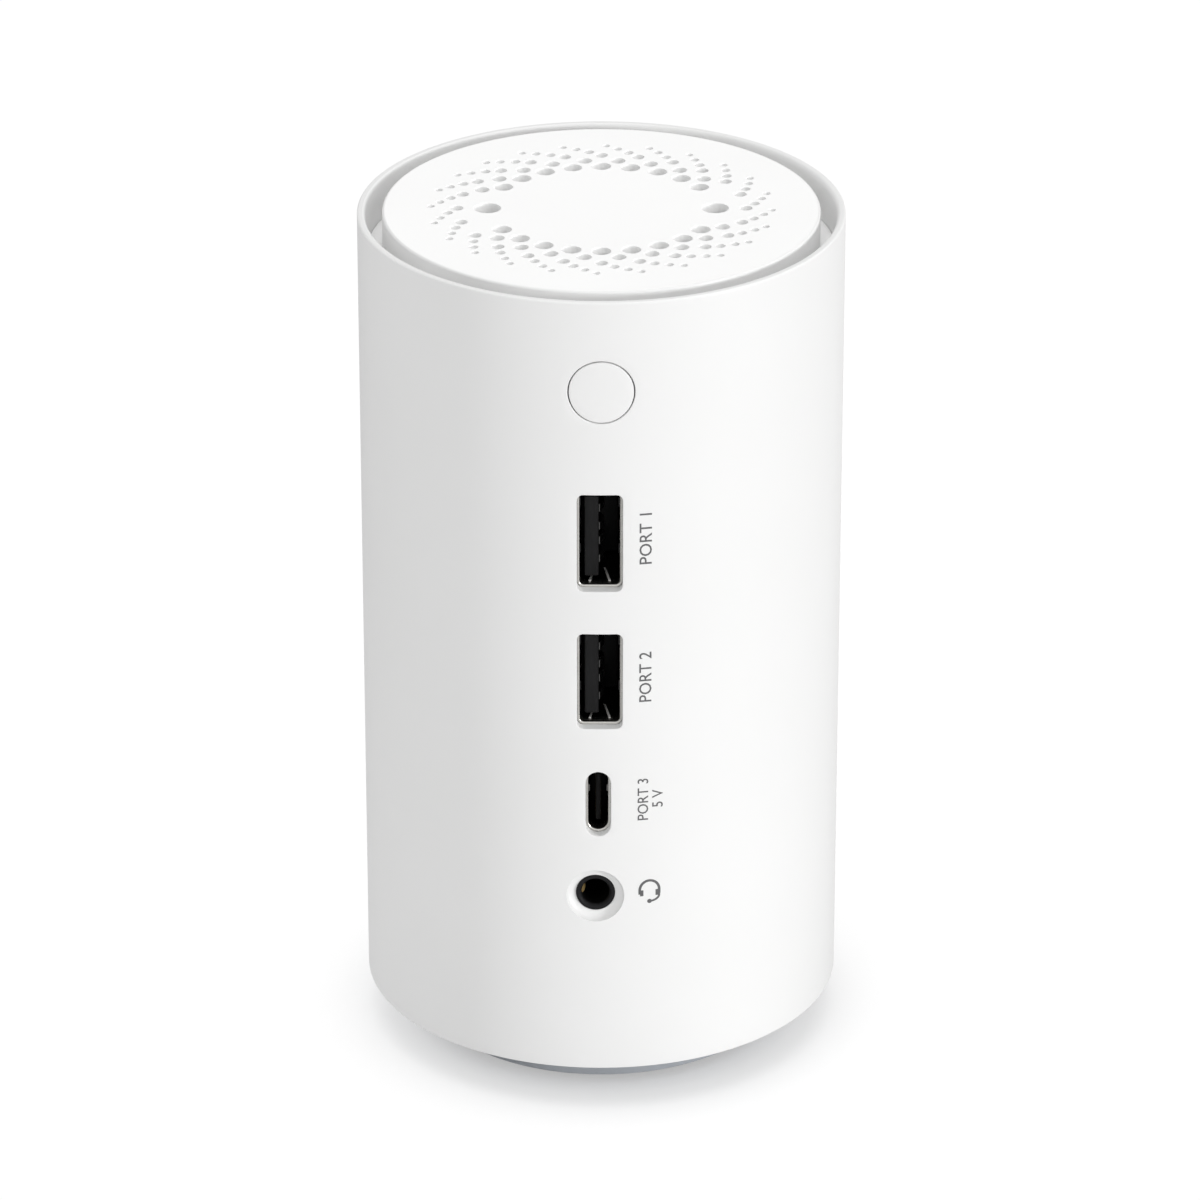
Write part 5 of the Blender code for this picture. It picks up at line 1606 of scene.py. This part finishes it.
# %% Light that the floor gives back
tree = pale_floor.node_tree
matt = tree.nodes["Principled BSDF"]
matt.inputs["Specular IOR Level"].default_value = 0.0
rays = add_node(tree, "ShaderNodeLightPath").outputs
sight, mirrored = rays["Is Camera Ray"], rays["Is Glossy Ray"]
paint = matt.inputs["Base Color"].links[0].from_socket
place = add_node(tree, "ShaderNodeTexCoord").outputs["Object"]
outward = out_of(tree, "ShaderNodeVectorMath", {0: place}, operation="NORMALIZE")
aim = {0: outward, 1: CARD_TOWARD}
to_card = out_of(tree, "ShaderNodeVectorMath", aim, "Value", operation="DOT_PRODUCT")
bounce = ranged(tree, to_card, levels=(FLOOR_BOUNCE, CARD_BOUNCE))
tree.links.new(blended(tree, sight, bounce, paint), matt.inputs["Base Color"])
away = out_of(tree, "ShaderNodeVectorMath", {0: place}, "Value", operation="LENGTH")
ramp = add_node(tree, "ShaderNodeValToRGB", None, {0: sum_of(tree, "DIVIDE", away, GLOW_REACH)})
while len(ramp.color_ramp.elements) < len(FLOOR_GLOW):
    ramp.color_ramp.elements.new(0.5)
for stop, (spot, level) in zip(ramp.color_ramp.elements, FLOOR_GLOW):
    stop.position = spot
    stop.color = (level, level, level, 1.0)
share = sum_of(tree, "MULTIPLY", sight, ramp.outputs["Color"])
glow = out_of(tree, "ShaderNodeEmission", {"Color": PLAIN_WHITE, "Strength": 1.0})
lit = out_of(tree, "ShaderNodeMixShader", {0: share, 1: matt.outputs[0], 2: glow})
side = out_of(tree, "ShaderNodeSeparateXYZ", {0: place}, "X")
gleam = ranged(tree, side, (-GLEAM_REACH, GLEAM_REACH), FLOOR_GLEAM)
gleam = out_of(tree, "ShaderNodeEmission", {"Color": PLAIN_WHITE, "Strength": gleam})
lit = out_of(tree, "ShaderNodeMixShader", {0: mirrored, 1: lit, 2: gleam})
tree.links.new(lit, tree.nodes["Material Output"].inputs["Surface"])
print("floor gives back", FLOOR_BOUNCE, "of the light, and", CARD_BOUNCE, "where the card would lie")

# %% Surround
SIDE_LIGHT, OVERHEAD_LIGHT = 0.25, 1.36
SHINE_FROM = (0.5, -0.7, 0.5)
SHINE_SPAN, SHINE_LEVELS = (-0.3, 0.7), (0.3, 1.0)
world = bpy.data.worlds.new("surround")
bpy.context.scene.world = world
world.use_nodes = True
tree = world.node_tree
tree.nodes.clear()
path = add_node(tree, "ShaderNodeLightPath").outputs
seen = sum_of(tree, "MAXIMUM", path["Is Camera Ray"], path["Is Transmission Ray"])
direction = add_node(tree, "ShaderNodeTexCoord").outputs["Generated"]
facing = {0: direction, 1: SHINE_FROM}
facing = out_of(tree, "ShaderNodeVectorMath", facing, "Value", operation="DOT_PRODUCT")
shine = ranged(tree, facing, SHINE_SPAN, SHINE_LEVELS)
height = out_of(tree, "ShaderNodeSeparateXYZ", {0: direction}, "Z")
fill = ranged(tree, height, levels=(SIDE_LIGHT, OVERHEAD_LIGHT))
skies = [{"Color": PLAIN_WHITE, "Strength": strength} for strength in (fill, shine, 1.0)]
dim, mirrored, white = [out_of(tree, "ShaderNodeBackground", sky) for sky in skies]
mixed = out_of(tree, "ShaderNodeMixShader", {0: path["Is Glossy Ray"], 1: dim, 2: mirrored})
mixed = out_of(tree, "ShaderNodeMixShader", {0: seen, 1: mixed, 2: white})
add_node(tree, "ShaderNodeOutputWorld", None, {"Surface": mixed})
print("surround lights with", OVERHEAD_LIGHT, "from above and", SIDE_LIGHT, "from the sides")

# %% Lamps
def sun(name, azimuth, elevation, strength, angle):
    """Wide sun lamp; azimuth 0 is in front and 90 to the right, strength 1 lights white to white."""
    lamp = bpy.data.lights.new(name, "SUN")
    lamp.energy = strength * math.pi
    lamp.angle = math.radians(angle)
    holder = placed(name, lamp)
    a, e = math.radians(azimuth), math.radians(elevation)
    source = Vector((math.sin(a) * math.cos(e), -math.cos(a) * math.cos(e), math.sin(e)))
    holder.rotation_mode = "QUATERNION"
    holder.rotation_quaternion = source.to_track_quat("Z", "Y")
    return holder


def lights(lamp, pieces, state):
    """Lets a lamp light some pieces alone (INCLUDE), or all but those (EXCLUDE)."""
    receivers = bpy.data.collections.new(lamp.name + " receivers")
    for piece in pieces:
        receivers.objects.link(piece)
    for link in receivers.collection_objects:
        link.light_linking.link_state = state
    lamp.light_linking.receiver_collection = receivers


lights(sun("key", 58, 5.5, 0.43, 10), [floor], "EXCLUDE")
lights(sun("vent light", 60, 38, 0.34, 20), [vent_piece], "INCLUDE")
lights(sun("channel light", 0, 90, 0.32, 30), [channel_piece], "INCLUDE")
lights(sun("floor light", 0, 90, 0.28, 50), [floor], "INCLUDE")
print("lamps: key, vent light, channel light and floor light")

# %% Camera
CAMERA_ELEVATION = 25.1435
CAMERA_DISTANCE = 0.8967
CAMERA_TARGET = (0.0, 0.0, 0.05888)
CAMERA_LENS, CAMERA_SENSOR = 204.9, 36.0
CAMERA_SHIFT = -0.00111
camera_data = bpy.data.cameras.new("camera")
camera_data.lens = CAMERA_LENS
camera_data.sensor_width = CAMERA_SENSOR
camera_data.shift_x = CAMERA_SHIFT
camera = placed("camera", camera_data)
lift = math.radians(CAMERA_ELEVATION)
toward = Vector((0.0, -math.cos(lift), math.sin(lift)))
camera.location = Vector(CAMERA_TARGET) + toward * CAMERA_DISTANCE
camera.rotation_mode = "QUATERNION"
camera.rotation_quaternion = toward.to_track_quat("Z", "Y")
bpy.context.scene.camera = camera
bpy.context.scene.view_settings.view_transform = "Standard"
print("camera", CAMERA_DISTANCE, "m away")
